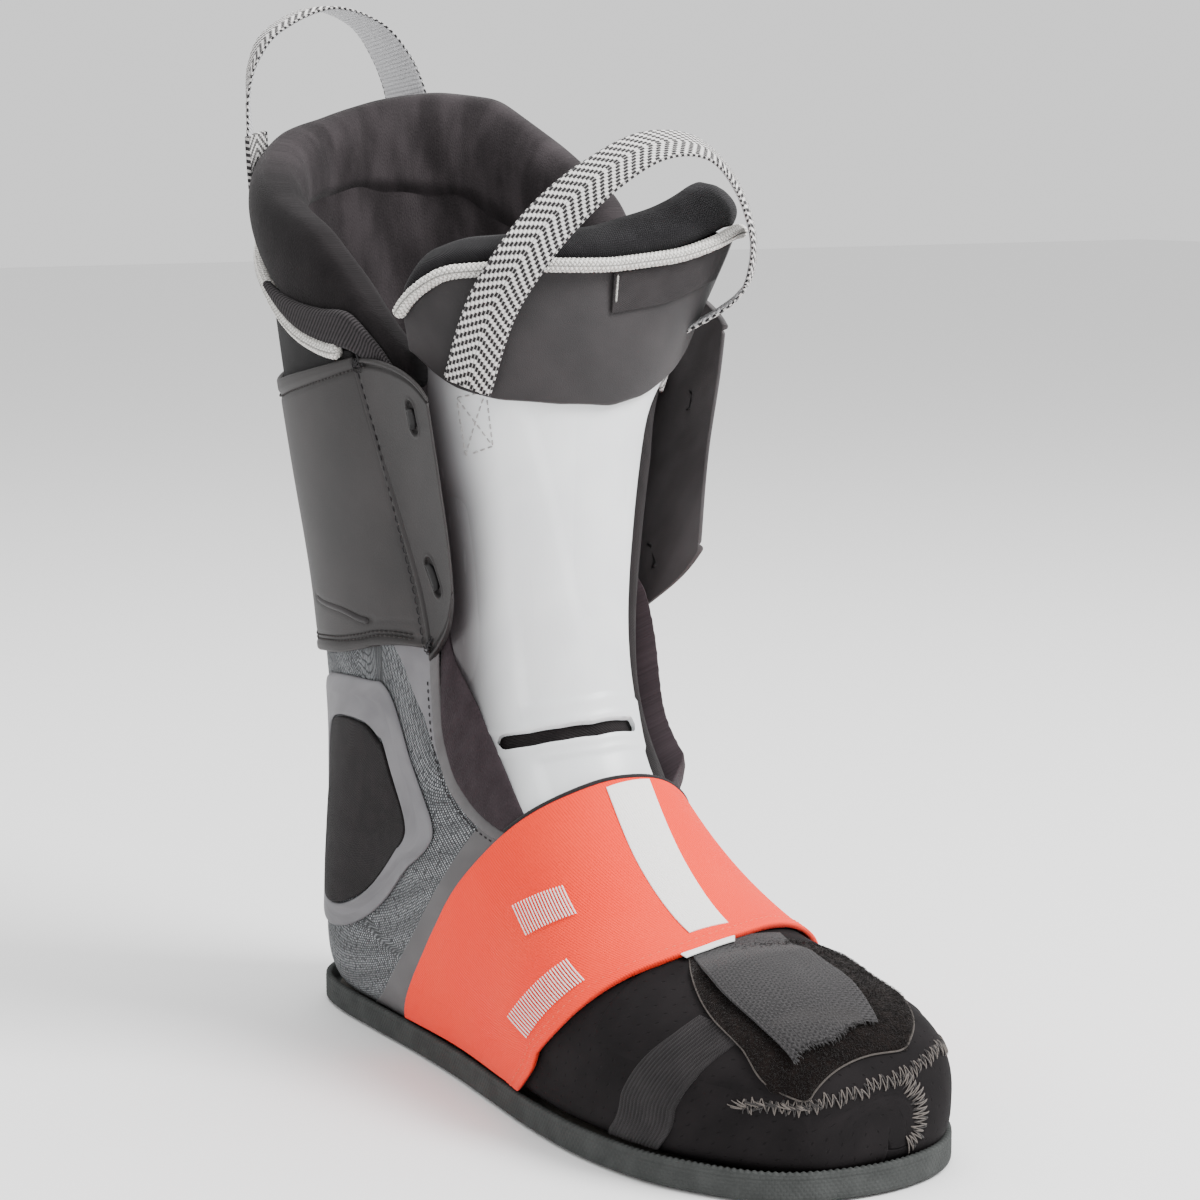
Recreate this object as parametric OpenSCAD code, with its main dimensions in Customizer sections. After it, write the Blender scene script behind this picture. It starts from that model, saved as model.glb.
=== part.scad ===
// Inner boot (liner) of an alpine ski boot, right foot. Millimetres, +Z up, toe towards -Y, big-toe side +X.
// The origin is on the ground under the middle of the sole. "Forward" is measured from the back of the heel.
// Every soft layer is a thin closed sheet that follows one lofted surface, at its own distance from it.
// A place on that surface is [u, v]: u runs from the nose (0) along the foot and up the leg to the rim (17),
// v is the angle round the section: 0 front or top, -90 outer side, 90 inner side, 180 back or sole.

/* [Foot and leg] */
// Length of the foot part, heel back to toe tip
foot_len = 288; // [264:2:304]
// Width of the forefoot
foot_wid = 102; // [94:1:108]
// Height of the cuff at the back
leg_high = 322; // [300:2:340]

/* [Layers] */
// Thickness of the outer fabric
fabric_t = 1.8; // [1.2:0.1:2]
// Thickness of the foam in the leg
foam_t = 7; // [4:0.5:8]
// Thickness of the plush lining
plush_t = 1.2; // [0.8:0.1:1.6]
// Clear gap between neighbouring layers
gap = 0.5; // [0.4:0.05:0.6]

/* [Tongue] */
// Thickness of the plastic tongue plate
plate_t = 1.2; // [0.8:0.1:1.4]
// Thickness of the tongue foam
tongue_foam_t = 9; // [6:0.5:10]

/* [Cuff] */
// Thickness of the moulded cuff panels and flaps
panel_t = 1.6; // [1:0.1:2]
// How far the padded collar stands out
collar_swell = 5; // [3:0.5:7]
// Diameter of the braided piping
piping_d = 4.4; // [3:0.2:5]

/* [Webbing loops] */
// Width of the loop webbing
webbing_w = 16; // [12:1:18]
// Thickness of the loop webbing
webbing_t = 1.6; // [1.2:0.1:2]

/* [Wrap and sole] */
// Thickness of the elastic instep wrap
wrap_t = 1.4; // [1:0.1:1.8]
// Thickness of the sole under the foot
sole_t = 3; // [2.4:0.1:3.2]
// Height of the sole's rim
rand_h = 9; // [8:0.5:10]
// Thickness of the sole's rim
rand_t = 2.4; // [2:0.1:2.6]

/* [Hidden] */

// Scales from the drawn size to the size asked for
long = foot_len / 288;
wide = foot_wid / 102;
tall = leg_high / 322;
// Forward distance of the origin
mid_f = 144;

// Sections of the liner. Each row: front edge forward and height, back edge forward and height, half width,
// sideways shift, where it is widest (0 back, 1 front), and how square its front and back halves are.
SECTIONS = [
    [288, 19, 288, 15, 0, 5.5, 0.45, 2.2, 2.6],
    [286, 33, 285, 7, 20.5, 5.5, 0.42, 2.3, 3.2],
    [279, 44, 277, 4, 32.5, 5.5, 0.40, 2.4, 3.8],
    [265, 51, 263, 4, 41.5, 3.5, 0.38, 2.4, 4.2],
    [246, 55, 245, 4, 47.5, 1, 0.36, 2.3, 4.4],
    [226, 60, 222, 4, 51, 0, 0.35, 2.2, 4.5],
    [206, 67, 194, 4, 51, -1, 0.34, 2.1, 4.5],
    [186, 79, 160, 4, 47, -1, 0.34, 2.1, 4.5],
    [168, 95, 118, 4, 42, 0, 0.38, 2.1, 5.0],
    [154, 114, 66, 4, 39, 0, 0.44, 2.1, 5.5],
    [147, 136, 17, 5, 38, 0, 0.50, 2.1, 4.0],
    [144, 160, 4, 32, 39.5, 0, 0.52, 2.1, 2.7],
    [144, 184, 6, 82, 42.5, 0, 0.52, 2.1, 2.2],
    [145, 207, 5, 132, 47.5, 0, 0.50, 2.1, 2.1],
    [147, 229, -2, 184, 54, 0, 0.50, 2.1, 2.1],
    [149, 249, -9, 236, 59, 0, 0.50, 2.1, 2.1],
    [151, 266, -15, 286, 63, 0, 0.50, 2.1, 2.1],
    [153, 280, -18, 322, 64, 0, 0.50, 2.1, 2.1]];
LAST = len(SECTIONS) - 1;

// Outline of the sole, sideways and forward, clockwise from the back of the heel
SOLE = [[0, -1], [-17, 3], [-29, 15], [-34.5, 34], [-37, 62], [-39, 92], [-42, 122], [-46.5, 152],
    [-51, 182], [-53, 212], [-50, 240], [-43, 259], [-33, 275], [-19, 285], [4, 290], [25, 286.5],
    [39.6, 276], [48.4, 260.5], [52, 240], [51.5, 212], [49, 182], [44.5, 152], [41.5, 122], [38.5, 92],
    [37, 62], [34.5, 34], [29, 15], [17, 3]];

// Seam and edge lines. Each is a list of [v, u] or [u, v] pairs that is read as a smooth curve.
// Seam of the toe's top panel: u, v
TOE_SEAM = [[0.9, 21], [1.5, 46], [2.6, 68], [4, 72], [5.6, 60], [8.6, 56]];
// Edge of the quarter at the throat: u, v
THROAT = [[8.4, 53], [9.6, 60], [10.5, 63], [12.6, 64]];
// Lower hem of the cuff panel: v, u
PANEL_HEM = [[64, 11.35], [75, 11.7], [92, 12.1], [116, 12.5], [180, 13.2]];
// Upper seam of the cuff panel: v, u
PANEL_TOP = [[70, 14.65], [92, 14.6], [123, 14.6], [180, 14.9]];
// Stitch line where the flap leaves the cuff panel: u, v
FLAP_SEAM = [[11.3, 67], [13.1, 73], [14.8, 79]];
// Front edge of the flap: u, v
FLAP_EDGE = [[11.2, 52], [12.9, 51], [14.2, 50]];
// Line of the collar piping: v, u
COLLAR_LINE = [[58, 14.1], [68, 14.5], [78, 14.8], [85, 14.85], [97, 15.06], [114, 15.45], [140, 15.8],
    [180, 15.9]];
// Rim of the collar, all the way round the back from the inner side to the outer: v, u
RIM = [[58, 14.5], [68, 14.95], [78, 15.6], [90, 16.25], [110, 16.7], [130, 17.05], [150, 17], [170, 16.85],
    [190, 16.65], [210, 16.55], [230, 16.35], [250, 16.15], [270, 15.95], [282, 15.5],
    [292, 14.95], [302, 14.5]];
// Rear and front edges of the instep wrap: v, u
WRAP_REAR = [[-120, 8.7], [-80, 8.78], [-50, 8.6], [-25, 8.38], [0, 8.28], [35, 8.25], [80, 8.6], [120, 8.6]];
WRAP_FRONT = [[-120, 6.45], [-74, 5.8], [-37, 5.3], [0, 5.55], [37, 5.7], [74, 6.1], [120, 6.6]];
// Line of the tongue piping: v, u
TONGUE_LINE = [[-62, 14.85], [-56, 15.25], [-45, 15.65], [-20, 15.85], [0, 15.85], [20, 16], [40, 16.4],
    [52, 16.2]];
// Top of the tongue pad: v, u
TONGUE_TOP = [[-62, 15.1], [-52, 15.85], [-40, 16.15], [-20, 16.35], [0, 16.5], [20, 16.9], [36, 17.35],
    [52, 17]];
// Lower edge of the tongue shield: v, u
SHIELD_LOW = [[-56, 14.55], [-30, 13.85], [0, 13.55], [30, 13.9], [50, 14.4]];
// Corners of the ankle window: u, v
WINDOW = [[12.0, 122], [11.5, 95], [10.7, 87], [9.9, 86], [10.15, 104], [10.9, 132], [11.6, 138]];
WINDOW_MID = [10.95, 109];

// Middle line of the loop webbing: sideways, forward, height, then the way its width points
FRONT_LOOP = [[-40, 134, 230, 0.7, 0.62, -0.36], [-39.5, 139, 241, 0.75, 0.58, -0.3],
    [-38, 144.5, 252, 0.8, 0.5, -0.3], [-33.5, 151, 264, 0.78, 0.5, -0.35], [-24, 155, 277, 0.6, 0.65, -0.45],
    [-10, 160, 290, 0.3, 0.8, -0.5], [8, 163, 299.5, 0.05, 0.85, -0.5], [27, 162.5, 299, -0.2, 0.85, -0.45],
    [44, 157.5, 288, -0.45, 0.8, -0.4], [55, 152.5, 272, -0.6, 0.75, -0.3],
    [58, 147.5, 258, -0.7, 0.68, -0.25],
    [56.5, 143, 246, -0.72, 0.66, -0.15]];
REAR_LOOP = [[-40, -11, 304, -0.55, 0.83, 0.1], [-39.5, -13, 316, -0.45, 0.88, 0],
    [-36, -15, 328, -0.3, 0.95, 0],
    [-27, -17, 339, -0.1, 1, 0], [-8, -18, 347, 0.1, 1, 0], [10, -18, 342, 0.3, 0.95, 0],
    [21, -18, 330, 0.5, 0.87, 0], [27, -18, 316, 0.62, 0.78, 0], [28.5, -18, 304, 0.65, 0.76, 0.1]];
// Where the ends of the rear loop are sewn to the collar: angles
REAR_ENDS = [-147, 158];

// ---- curves -------------------------------------------------------------------------------------

// Cubic through b and c, with a before and d after
function cubic(a, b, c, d, t) =
    0.5 * (2 * b + (c - a) * t + (2 * a - 5 * b + 4 * c - d) * t * t + (3 * b - a - 3 * c + d) * t * t * t);
function clamp(x, lo, hi) = min(max(x, lo), hi);
function mix(a, b, t) = a + (b - a) * t;
// Smooth step from 0 at lo to 1 at hi
function ease(lo, hi, x) = let (t = clamp((x - lo) / (hi - lo), 0, 1)) t * t * (3 - 2 * t);
// Value of a table of [x, y] rows at x, with rounded corners
function read(table, x) =
    let (r = 0.12 * (table[len(table) - 1][0] - table[0][0]) / (len(table) - 1))
    (lookup(x - 2 * r, table) + 2 * lookup(x - r, table) + 3 * lookup(x, table)
        + 2 * lookup(x + r, table) + lookup(x + 2 * r, table)) / 9;
// Point at t, 0 to 1, round a closed list of corners
function round_loop(list, t) =
    let (n = len(list), x = t * n, i = floor(x), p = function (k) list[(k + n) % n])
    cubic(p(i - 1), p(i), p(i + 1), p(i + 2), x - i);
// Point at t, 0 to 1, along an open list of points
function along(list, t) =
    let (n = len(list) - 1, x = clamp(t, 0, 1) * n, i = min(floor(x), n - 1), p = function (k)
        k < 0 ? 2 * list[0] - list[1] : k > n ? 2 * list[n] - list[n - 1] : list[k])
    cubic(p(i - 1), p(i), p(i + 1), p(i + 2), x - i);

// ---- the liner's surface ------------------------------------------------------------------------

// Mirrored row before the nose, so that the section opens smoothly there
NOSE = let (r = SECTIONS[1]) [r[2], r[3], r[0], r[1], -r[4], r[5], r[6], r[7], r[8]];
function section_row(i) = i < 0 ? NOSE : i > LAST ? 2 * SECTIONS[LAST] - SECTIONS[LAST - 1] : SECTIONS[i];
function section(u) =
    let (i = clamp(floor(u), 0, LAST - 1))
    cubic(section_row(i - 1), section_row(i), section_row(i + 1), section_row(i + 2), u - i);
function bend(x, n) = sign(x) * pow(abs(x), 2 / n);
// Point at [u, v], off millimetres outside the surface
function on(u, v, off = 0) =
    let (s = section(u), n = cos(v) > 0 ? s[7] : s[8], c = bend(cos(v), n),
        t = c > 0 ? s[6] + (1 - s[6]) * c : s[6] + s[6] * c,
        front = [s[0], s[1]], back = [s[2], s[3]], out = off * (front - back) / norm(front - back),
        q = mix(back - out, front + out, t), nose = off * clamp(1 - u, 0, 1))
    place([s[5] + (s[4] + off) * bend(sin(v), n), q[0] + nose, q[1]]);
// From sideways, forward, height as drawn to a point of the model
function place(p) = [p[0] * wide, (mid_f - p[1]) * long, p[2] * tall];
// Angle at which the section at u comes down to height z near the sole
function sole_v(u, z) =
    let (s = section(u), c = ((z - s[3]) / (s[1] - s[3]) - s[6]) / s[6])
    acos(-pow(clamp(-c, 0, 1), s[8] / 2));
// Lowest u, not under lo, at which the line of angle v is above height z
function heel_u(v, z, lo, hi = 10.8, n = 12) =
    n == 0 ? hi : on(lo, v)[2] > z * tall ? lo
        : let (m = (lo + hi) / 2)
            on(m, v)[2] > z * tall ? heel_u(v, z, lo, m, n - 1) : heel_u(v, z, m, hi, n - 1);
// Height at which the fabric ends, just over the insole board, as drawn
hem_z = (sole_t + 2.4) / tall;

// ---- solids -------------------------------------------------------------------------------------

function quad(a, b, c, d) = [[a, b, c], [a, c, d]];
// Closed solid between two grids of points; wrapped = true joins the last column to the first
module between_grids(low, high, ns, nt, wrapped = false) {
    w = wrapped ? ns : ns + 1;
    size = w * (nt + 1);
    at = function (k, i, j) k * size + j * w + (wrapped ? i % ns : i);
    outer = [for (j = [0:nt - 1], i = [0:ns - 1])
        each quad(at(1, i, j), at(1, i, j + 1), at(1, i + 1, j + 1), at(1, i + 1, j))];
    inner = [for (j = [0:nt - 1], i = [0:ns - 1])
        each quad(at(0, i, j), at(0, i + 1, j), at(0, i + 1, j + 1), at(0, i, j + 1))];
    start = [for (i = [0:ns - 1]) each quad(at(0, i, 0), at(1, i, 0), at(1, i + 1, 0), at(0, i + 1, 0))];
    stop = [for (i = [0:ns - 1]) each quad(at(0, i, nt), at(0, i + 1, nt), at(1, i + 1, nt), at(1, i, nt))];
    left = [for (j = [0:nt - 1]) each quad(at(0, 0, j), at(0, 0, j + 1), at(1, 0, j + 1), at(1, 0, j))];
    right = [for (j = [0:nt - 1]) each quad(at(0, ns, j), at(1, ns, j), at(1, ns, j + 1), at(0, ns, j + 1))];
    polyhedron(concat(low, high), concat(outer, inner, start, stop, wrapped ? [] : concat(left, right)));
}
// Sheet on the surface: at(s, t) gives [u, v]; low(s, t) and high(s, t) give its two distances
module sheet(at, low, high, ns, nt, wrapped = false) {
    grid = function (off) [for (j = [0:nt], i = [0:wrapped ? ns - 1 : ns])
        let (s = i / ns, t = j / nt, q = at(s, t)) on(q[0], q[1], off(s, t))];
    between_grids(grid(low), grid(high), ns, nt, wrapped);
}
function flat_at(d) = function (s, t) d;
// Round tube along a list of points
module tube(points, r, sides) {
    n = len(points) - 1;
    ring = function (i)
        let (d = points[min(i + 1, n)] - points[max(i - 1, 0)], x = cross(d, [0, 0.3, 1]),
            a = x / norm(x), y = cross(a, d), b = y / norm(y))
        [for (k = [0:sides - 1]) points[i] + r * (cos(360 * k / sides) * a + sin(360 * k / sides) * b)];
    all = [for (i = [0:n]) each ring(i)];
    walls = [for (i = [0:n - 1], k = [0:sides - 1])
        let (m = (k + 1) % sides)
        each quad(i * sides + k, i * sides + m, (i + 1) * sides + m, (i + 1) * sides + k)];
    polyhedron(all, concat(walls, [[for (k = [sides - 1:-1:0]) k], [for (k = [0:sides - 1]) n * sides + k]]));
}
// Flat webbing along rows of [x, forward, z, width direction], from t0 to t1 of its length
module webbing(rows, t0, t1, steps) {
    row = function (t) along(rows, t);
    centre = function (t) let (r = row(t)) place([r[0], r[1], r[2]]);
    face = function (i, side)
        let (t = mix(t0, t1, i / steps), r = row(t), w = [r[3], -r[4], r[5]],
            run = centre(t + 0.02) - centre(t - 0.02),
            across = w - run * (w * run) / (run * run), a = across / norm(across), n = cross(a, run),
            up = n / norm(n))
        [for (k = [-1, 1]) centre(t) + a * k * webbing_w / 2 + up * side * webbing_t / 2];
    grid = function (side) [for (i = [0:steps]) each face(i, side)];
    between_grids(grid(-1), grid(1), 1, steps);
}

// ---- sole ---------------------------------------------------------------------------------------

sole_points = [for (i = [0:111]) let (p = round_loop(SOLE, i / 112)) [p[0] * wide, (mid_f - p[1]) * long]];
// Plate of the sole's outline, drawn in by a margin
module sole_plate(margin, high) {
    linear_extrude(high) offset(delta = -margin) polygon(sole_points);
}
module outsole() {
    color("#3f4443") {
        sole_plate(0, sole_t);
        difference() {
            sole_plate(0, rand_h);
            translate([0, 0, sole_t - 0.2]) sole_plate(rand_t, rand_h);
        }
    }
}
module insole_board() {
    color("#55524e") translate([0, 0, sole_t + 0.2]) sole_plate(rand_t + 2.6, 1.4);
}
module footbed() {
    color("#2e3033") translate([0, 0, sole_t + 2]) sole_plate(rand_t + 14.5, 4);
}

// ---- upper of the foot --------------------------------------------------------------------------

// Top panel of the toe, from the seam over the nose to under the wrap
module vamp_top() {
    at = function (s, t) let (u = mix(0.9, 5.35, t), v = read(TOE_SEAM, u)) [u, mix(-v, v, s)];
    color("#2b2a2c") sheet(at, flat_at(-fabric_t), flat_at(0), 12, 9);
}
// Side of the toe and forefoot, from the front seam back to the quarter; side is -1 outer, 1 inner
module toe_side(side) {
    seam_gap = 1.2;
    at = function (s, t)
        let (u = mix(0.12, 8.25, pow(t, 1.25)), top = u < 0.9 ? 4 : read(TOE_SEAM, u) + seam_gap,
            low = sole_v(u, hem_z))
        [u, side < 0 ? mix(-low, -top, s) : mix(top, low, s)];
    color("#262527") sheet(at, flat_at(-fabric_t), flat_at(0), 9, 14);
}
module toe_side_lateral() {
    toe_side(-1);
}
module toe_side_medial() {
    toe_side(1);
}
// Foam-backed lining of the toe box
module forefoot_lining() {
    at = function (s, t)
        let (u = mix(1, 5.7, t), v = sole_v(u, hem_z + 6)) [u, mix(-v, v, s)];
    color("#3a393b") sheet(at, flat_at(-fabric_t - gap - 4.5), flat_at(-fabric_t - gap - 0.5), 18, 8);
}
// Foam beside the foot between the toe box and the heel
module midfoot_foam(side) {
    at = function (s, t)
        let (u = mix(5.8, 8.7, t), v = mix(52, sole_v(u, hem_z + 6), side < 0 ? 1 - s : s)) [u, side * v];
    color("#44444a") sheet(at, flat_at(-fabric_t - gap - 5), flat_at(-fabric_t - gap - 0.5), 6, 5);
}
module midfoot_foam_lateral() {
    midfoot_foam(-1);
}
module midfoot_foam_medial() {
    midfoot_foam(1);
}
// Knitted quarter from the wrap to the cuff panel and round to the back seam
module quarter(side) {
    at = function (s, t)
        let (v0 = mix(read(THROAT, mix(8.5, 12.6, t)), 179.6, s), lo = heel_u(v0, hem_z, 8.42),
            u = mix(lo, 12.95, t), v = mix(read(THROAT, u), 179.6, s))
        [u, side * v];
    flip = function (s, t) at(side < 0 ? 1 - s : s, t);
    color("#7d8791") sheet(flip, flat_at(-fabric_t), flat_at(0), 13, 14);
}
module quarter_lateral() {
    quarter(-1);
}
module quarter_medial() {
    quarter(1);
}
// Place at a share k of the way out from the middle of the ankle window to its edge
function window_at(side, s, k) =
    let (p = WINDOW_MID + k * (round_loop(WINDOW, side < 0 ? s : 1 - s) - WINDOW_MID)) [p[0], side * p[1]];
// Welded film frame round the ankle window
module ankle_frame(side) {
    at = function (s, t) window_at(side, s, mix(1, 1.34, t));
    color("#6d7277") sheet(at, flat_at(gap), flat_at(gap + 0.8), 24, 1, true);
}
module ankle_frame_lateral() {
    ankle_frame(-1);
}
module ankle_frame_medial() {
    ankle_frame(1);
}
// Dark fabric pad inside the ankle window
module ankle_pad(side) {
    rings = 4;
    ns = 24;
    size = ns * rings + 1;
    place_of = function (s, k, off) let (q = window_at(side, s, 0.95 * k)) on(q[0], q[1], off);
    layer = function (off) concat([place_of(0, 0, off)],
        [for (j = [1:rings], i = [0:ns - 1]) place_of(i / ns, j / rings, off)]);
    at = function (k, i, j) k * size + 1 + (j - 1) * ns + i % ns;
    fan = [for (i = [0:ns - 1])
        each [[size, at(1, i, 1), at(1, i + 1, 1)], [0, at(0, i + 1, 1), at(0, i, 1)]]];
    rows = [for (j = [1:rings - 1], i = [0:ns - 1]) each concat(
        quad(at(1, i, j), at(1, i, j + 1), at(1, i + 1, j + 1), at(1, i + 1, j)),
        quad(at(0, i, j), at(0, i + 1, j), at(0, i + 1, j + 1), at(0, i, j + 1)))];
    edge = [for (i = [0:ns - 1])
        each quad(at(0, i, rings), at(0, i + 1, rings), at(1, i + 1, rings), at(1, i, rings))];
    color("#2f2d31") polyhedron(concat(layer(gap), layer(gap + 1)), concat(fan, rows, edge));
}
module ankle_pad_lateral() {
    ankle_pad(-1);
}
module ankle_pad_medial() {
    ankle_pad(1);
}
// Strip over the seam up the back of the heel
module back_strip() {
    at = function (s, t) [mix(10.75, 13, t), mix(172, 188, s)];
    color("#5f666c") sheet(at, flat_at(gap), flat_at(gap + 1), 3, 8);
}

// ---- leg ----------------------------------------------------------------------------------------

foam_out = -fabric_t - gap - 1.1;
foam_in = foam_out - foam_t;
plush_out = foam_in - gap - 0.3;
plush_in = plush_out - plush_t;
// Angle as read in the tables, which hold one side only: 0 to 180
function half(v) = v > 180 ? 360 - v : v;
// Patch round the back of the leg from the throat on one side to the throat on the other
function round_back(v_lo, u_lo, u_hi) = function (s, t)
    let (v = mix(v_lo, 360 - v_lo, s), h = half(v)) [mix(u_lo(h), u_hi(h), t), v];
// The leg's inner layers, closer rows at the heel, up to just under the collar
function leg_layer() = let (at = round_back(66, function (v) heel_u(v, hem_z + 9, 8.8),
    function (v) read(COLLAR_LINE, v) - 0.02)) function (s, t) at(s, pow(t, 1.4));
module cuff_foam() {
    out = function (s, t) foam_out - 3.4 * pow(1 - t, 3);
    color("#44444a") sheet(leg_layer(), flat_at(foam_in), out, 24, 17);
}
module cuff_lining() {
    color("#343033") sheet(leg_layer(), flat_at(plush_in), flat_at(plush_out), 24, 17);
}
// Moulded cuff panel from the flap's stitch line round to the back seam
module cuff_panel(side) {
    at = function (s, t)
        let (h = mix(read(FLAP_SEAM, mix(11.6, 14.6, t)), 179.4, side < 0 ? 1 - s : s),
            u = mix(read(PANEL_HEM, h), read(PANEL_TOP, h), t), v0 = read(FLAP_SEAM, u) + 1,
            v = mix(v0, 179.4, side < 0 ? 1 - s : s))
        [u, side * v];
    color("#5b595a") sheet(at, flat_at(gap + 0.1), flat_at(gap + 0.1 + panel_t), 12, 6);
}
module cuff_panel_lateral() {
    cuff_panel(-1);
}
module cuff_panel_medial() {
    cuff_panel(1);
}
// Free front flap of the cuff panel, from u_low to u_top; its edge stands out from the tongue by the lifts
module cuff_flap(side, lift_low, lift_top, u_low, u_top, panel_color) {
    base = gap + 0.1;
    at = function (s, t)
        let (k = side < 0 ? s : 1 - s, round_off = 0.2 * pow(k, 8), drop = 0.5 * k * k,
            u = mix(u_low + round_off, u_top - drop - round_off, t))
        [u, side * mix(read(FLAP_SEAM, u), read(FLAP_EDGE, u), k)];
    rise = function (s, t) let (k = side < 0 ? s : 1 - s) base + mix(lift_low, lift_top, t) * k * k;
    color(panel_color) sheet(at, rise, function (s, t) rise(s, t) + panel_t, 8, 10);
}
module flap_lateral() {
    cuff_flap(-1, 10, 16, 11.32, 14.62, "#605e5f");
}
module flap_medial() {
    cuff_flap(1, 21, 16, 11.5, 15.4, "#3a3839");
}
// Woven mesh between the cuff panel and the piping
module collar_mesh() {
    at = round_back(79, function (v) read(PANEL_TOP, v) - 0.5, function (v) read(COLLAR_LINE, v) - 0.1);
    color("#252426") sheet(at, flat_at(-fabric_t), flat_at(0), 22, 3);
}
// Padded plush collar that rolls over the rim
module collar_roll() {
    at = function (s, t)
        let (v = mix(60, 300, s)) [mix(read(COLLAR_LINE, half(v)) + 0.02, read(RIM, v), t), v];
    swell = function (s) collar_swell * ease(70, 120, half(mix(60, 300, s)));
    out = function (s, t) 0.2 + swell(s) * sin(40 + 130 * t) - 3.5 * pow(t, 6);
    low = function (s, t) plush_in + 4 * pow(t, 6);
    color("#2f2b2e") sheet(at, low, out, 26, 9);
}
module collar_piping() {
    off = 2.4;
    line = [for (i = [0:36]) let (v = mix(81, 279, i / 36), h = half(v))
        on(read(COLLAR_LINE, h) - 0.12, v, off)];
    color("#e6e6e2") tube(line, piping_d / 2, 8);
}
// Plush lip between the throat edge and the tongue; bulge is how far it stands out in the middle
module gusset(side, bulge, u_top) {
    at = function (s, t)
        let (u = mix(9.5, u_top, t), k = side < 0 ? 1 - s : s, edge = read(THROAT, u) - 1.5)
        [u, side * mix(edge - 8.5, edge, k)];
    high = function (s, t) foam_out + (bulge - foam_out) * pow(sin(180 * clamp(t, 0.02, 0.98)), 0.5);
    color("#2f2c30") sheet(at, flat_at(foam_in + 1), high, 4, 10);
}
module gusset_lateral() {
    gusset(-1, 1, 12.4);
}
module gusset_medial() {
    gusset(1, 7, 11.35);
}

// ---- instep wrap and toe closure ----------------------------------------------------------------

wrap_low = gap + 0.1;
module instep_wrap() {
    at = function (s, t)
        let (v0 = mix(-120, 120, s), u = mix(read(WRAP_FRONT, v0), read(WRAP_REAR, v0), t),
            edge = sole_v(u, (rand_h + 2.6) / tall), v = mix(-edge, edge, s))
        [mix(read(WRAP_FRONT, v), read(WRAP_REAR, v), t), v];
    color("#ff6a4d") sheet(at, flat_at(wrap_low), flat_at(wrap_low + wrap_t), 28, 8);
}
// Printed centre band on the wrap
module wrap_stripe() {
    at = function (s, t) let (u = mix(5.75, 8.2, t)) [u, mix(mix(-12, -11, t), mix(1, 7, t), s)];
    low = wrap_low + wrap_t + 0.15;
    color("#f0f0f0") sheet(at, flat_at(low), flat_at(low + 0.3), 3, 8);
}
module toe_loop_patch() {
    at = function (s, t) let (u = mix(1.95, 5.15, t)) [u, mix(mix(-56, -19, t), mix(46, 23, t), s)];
    color("#3a2f2d") sheet(at, flat_at(gap), flat_at(gap + 1.2), 9, 8);
}
// Woven tab at the tail of the tongue, pressed onto the patch
module toe_tab() {
    at = function (s, t) let (u = mix(2.45, 5, t)) [u, mix(mix(-37, -17, t), mix(8, 17, t), s)];
    color("#55565a") sheet(at, flat_at(gap + 3.4), flat_at(gap + 4.2), 6, 7);
}
// Hook strip under the end of the tab
module tab_hook() {
    at = function (s, t) let (u = mix(2.1, 2.9, t)) [u, mix(mix(-36, -33, t), mix(14, 11, t), s)];
    color("#2b2523") sheet(at, flat_at(gap + 1.7), flat_at(gap + 2.9), 6, 3);
}
// Plastic end of the tongue where it is sewn down in front of the wrap
module tongue_stay() {
    at = function (s, t) let (u = mix(5.05, 5.5, t)) [u, mix(-12, 8, s)];
    color("#e8e8e6") sheet(at, flat_at(gap + 1.9), flat_at(gap + 2.7), 3, 2);
}

// ---- tongue -------------------------------------------------------------------------------------

// Middle of the flex slot and of the gap between the two plates
slot_u = 9.38;
tongue_half = 50;
// How far the top of the tongue splays out, more on the inner side
function flare(u, v) = 16 * ease(13.2, 16.6, u) * ease(0, 50, v) + 3 * ease(13.5, 16, u) * ease(10, 55, -v);
function with_flare(at, off) = function (s, t) let (q = at(s, t)) off + flare(q[0], q[1]);
module tongue_plate_lower() {
    at = function (s, t)
        let (u = mix(5.45, slot_u - 0.1, t), h = mix(40, 47, ease(6, 9, u))) [u, mix(-h, h, s)];
    color("#dfe3e5") sheet(at, flat_at(-plate_t), flat_at(0), 10, 8);
}
module tongue_foam_lower() {
    at = function (s, t)
        let (u = mix(5.9, slot_u - 0.25, t), h = mix(38, 45, ease(6, 9, u))) [u, mix(-h, h, s)];
    color("#38373a") sheet(at, flat_at(-plate_t - gap - 4), flat_at(-plate_t - gap), 9, 6);
}
module tongue_plate_upper() {
    at = function (s, t)
        let (u = mix(slot_u + 0.1, 14.9, t), h = mix(46, 51, ease(10, 13, u))) [u, mix(-h, h, s)];
    color("#dfe3e5") sheet(at, with_flare(at, -plate_t), with_flare(at, 0), 12, 12);
}
// Sheet of the tongue's full width behind its plate
module tongue_back(in, out, margin) {
    at = function (s, t)
        let (h = tongue_half - margin, v = mix(-h, h, s))
        [mix(slot_u + 0.3, read(TONGUE_LINE, v) - 0.1, t), v];
    color("#303034") sheet(at, with_flare(at, in), with_flare(at, out), 12, 12);
}
tongue_foam_out = -plate_t - gap - 1.7;
tongue_foam_in = tongue_foam_out - tongue_foam_t;
module tongue_foam() {
    tongue_back(tongue_foam_in, tongue_foam_out, 1.5);
}
module tongue_lining() {
    tongue_back(tongue_foam_in - gap - plush_t, tongue_foam_in - gap, 1.5);
}
shield_low = 0.6;
shield_t = 0.9;
module tongue_shield() {
    at = function (s, t)
        let (v = mix(-58, 50, s)) [mix(read(SHIELD_LOW, v), read(TONGUE_LINE, v) - 0.12, t), v];
    color("#4b494a") sheet(at, with_flare(at, shield_low), with_flare(at, shield_low + shield_t), 14, 5);
}
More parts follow.
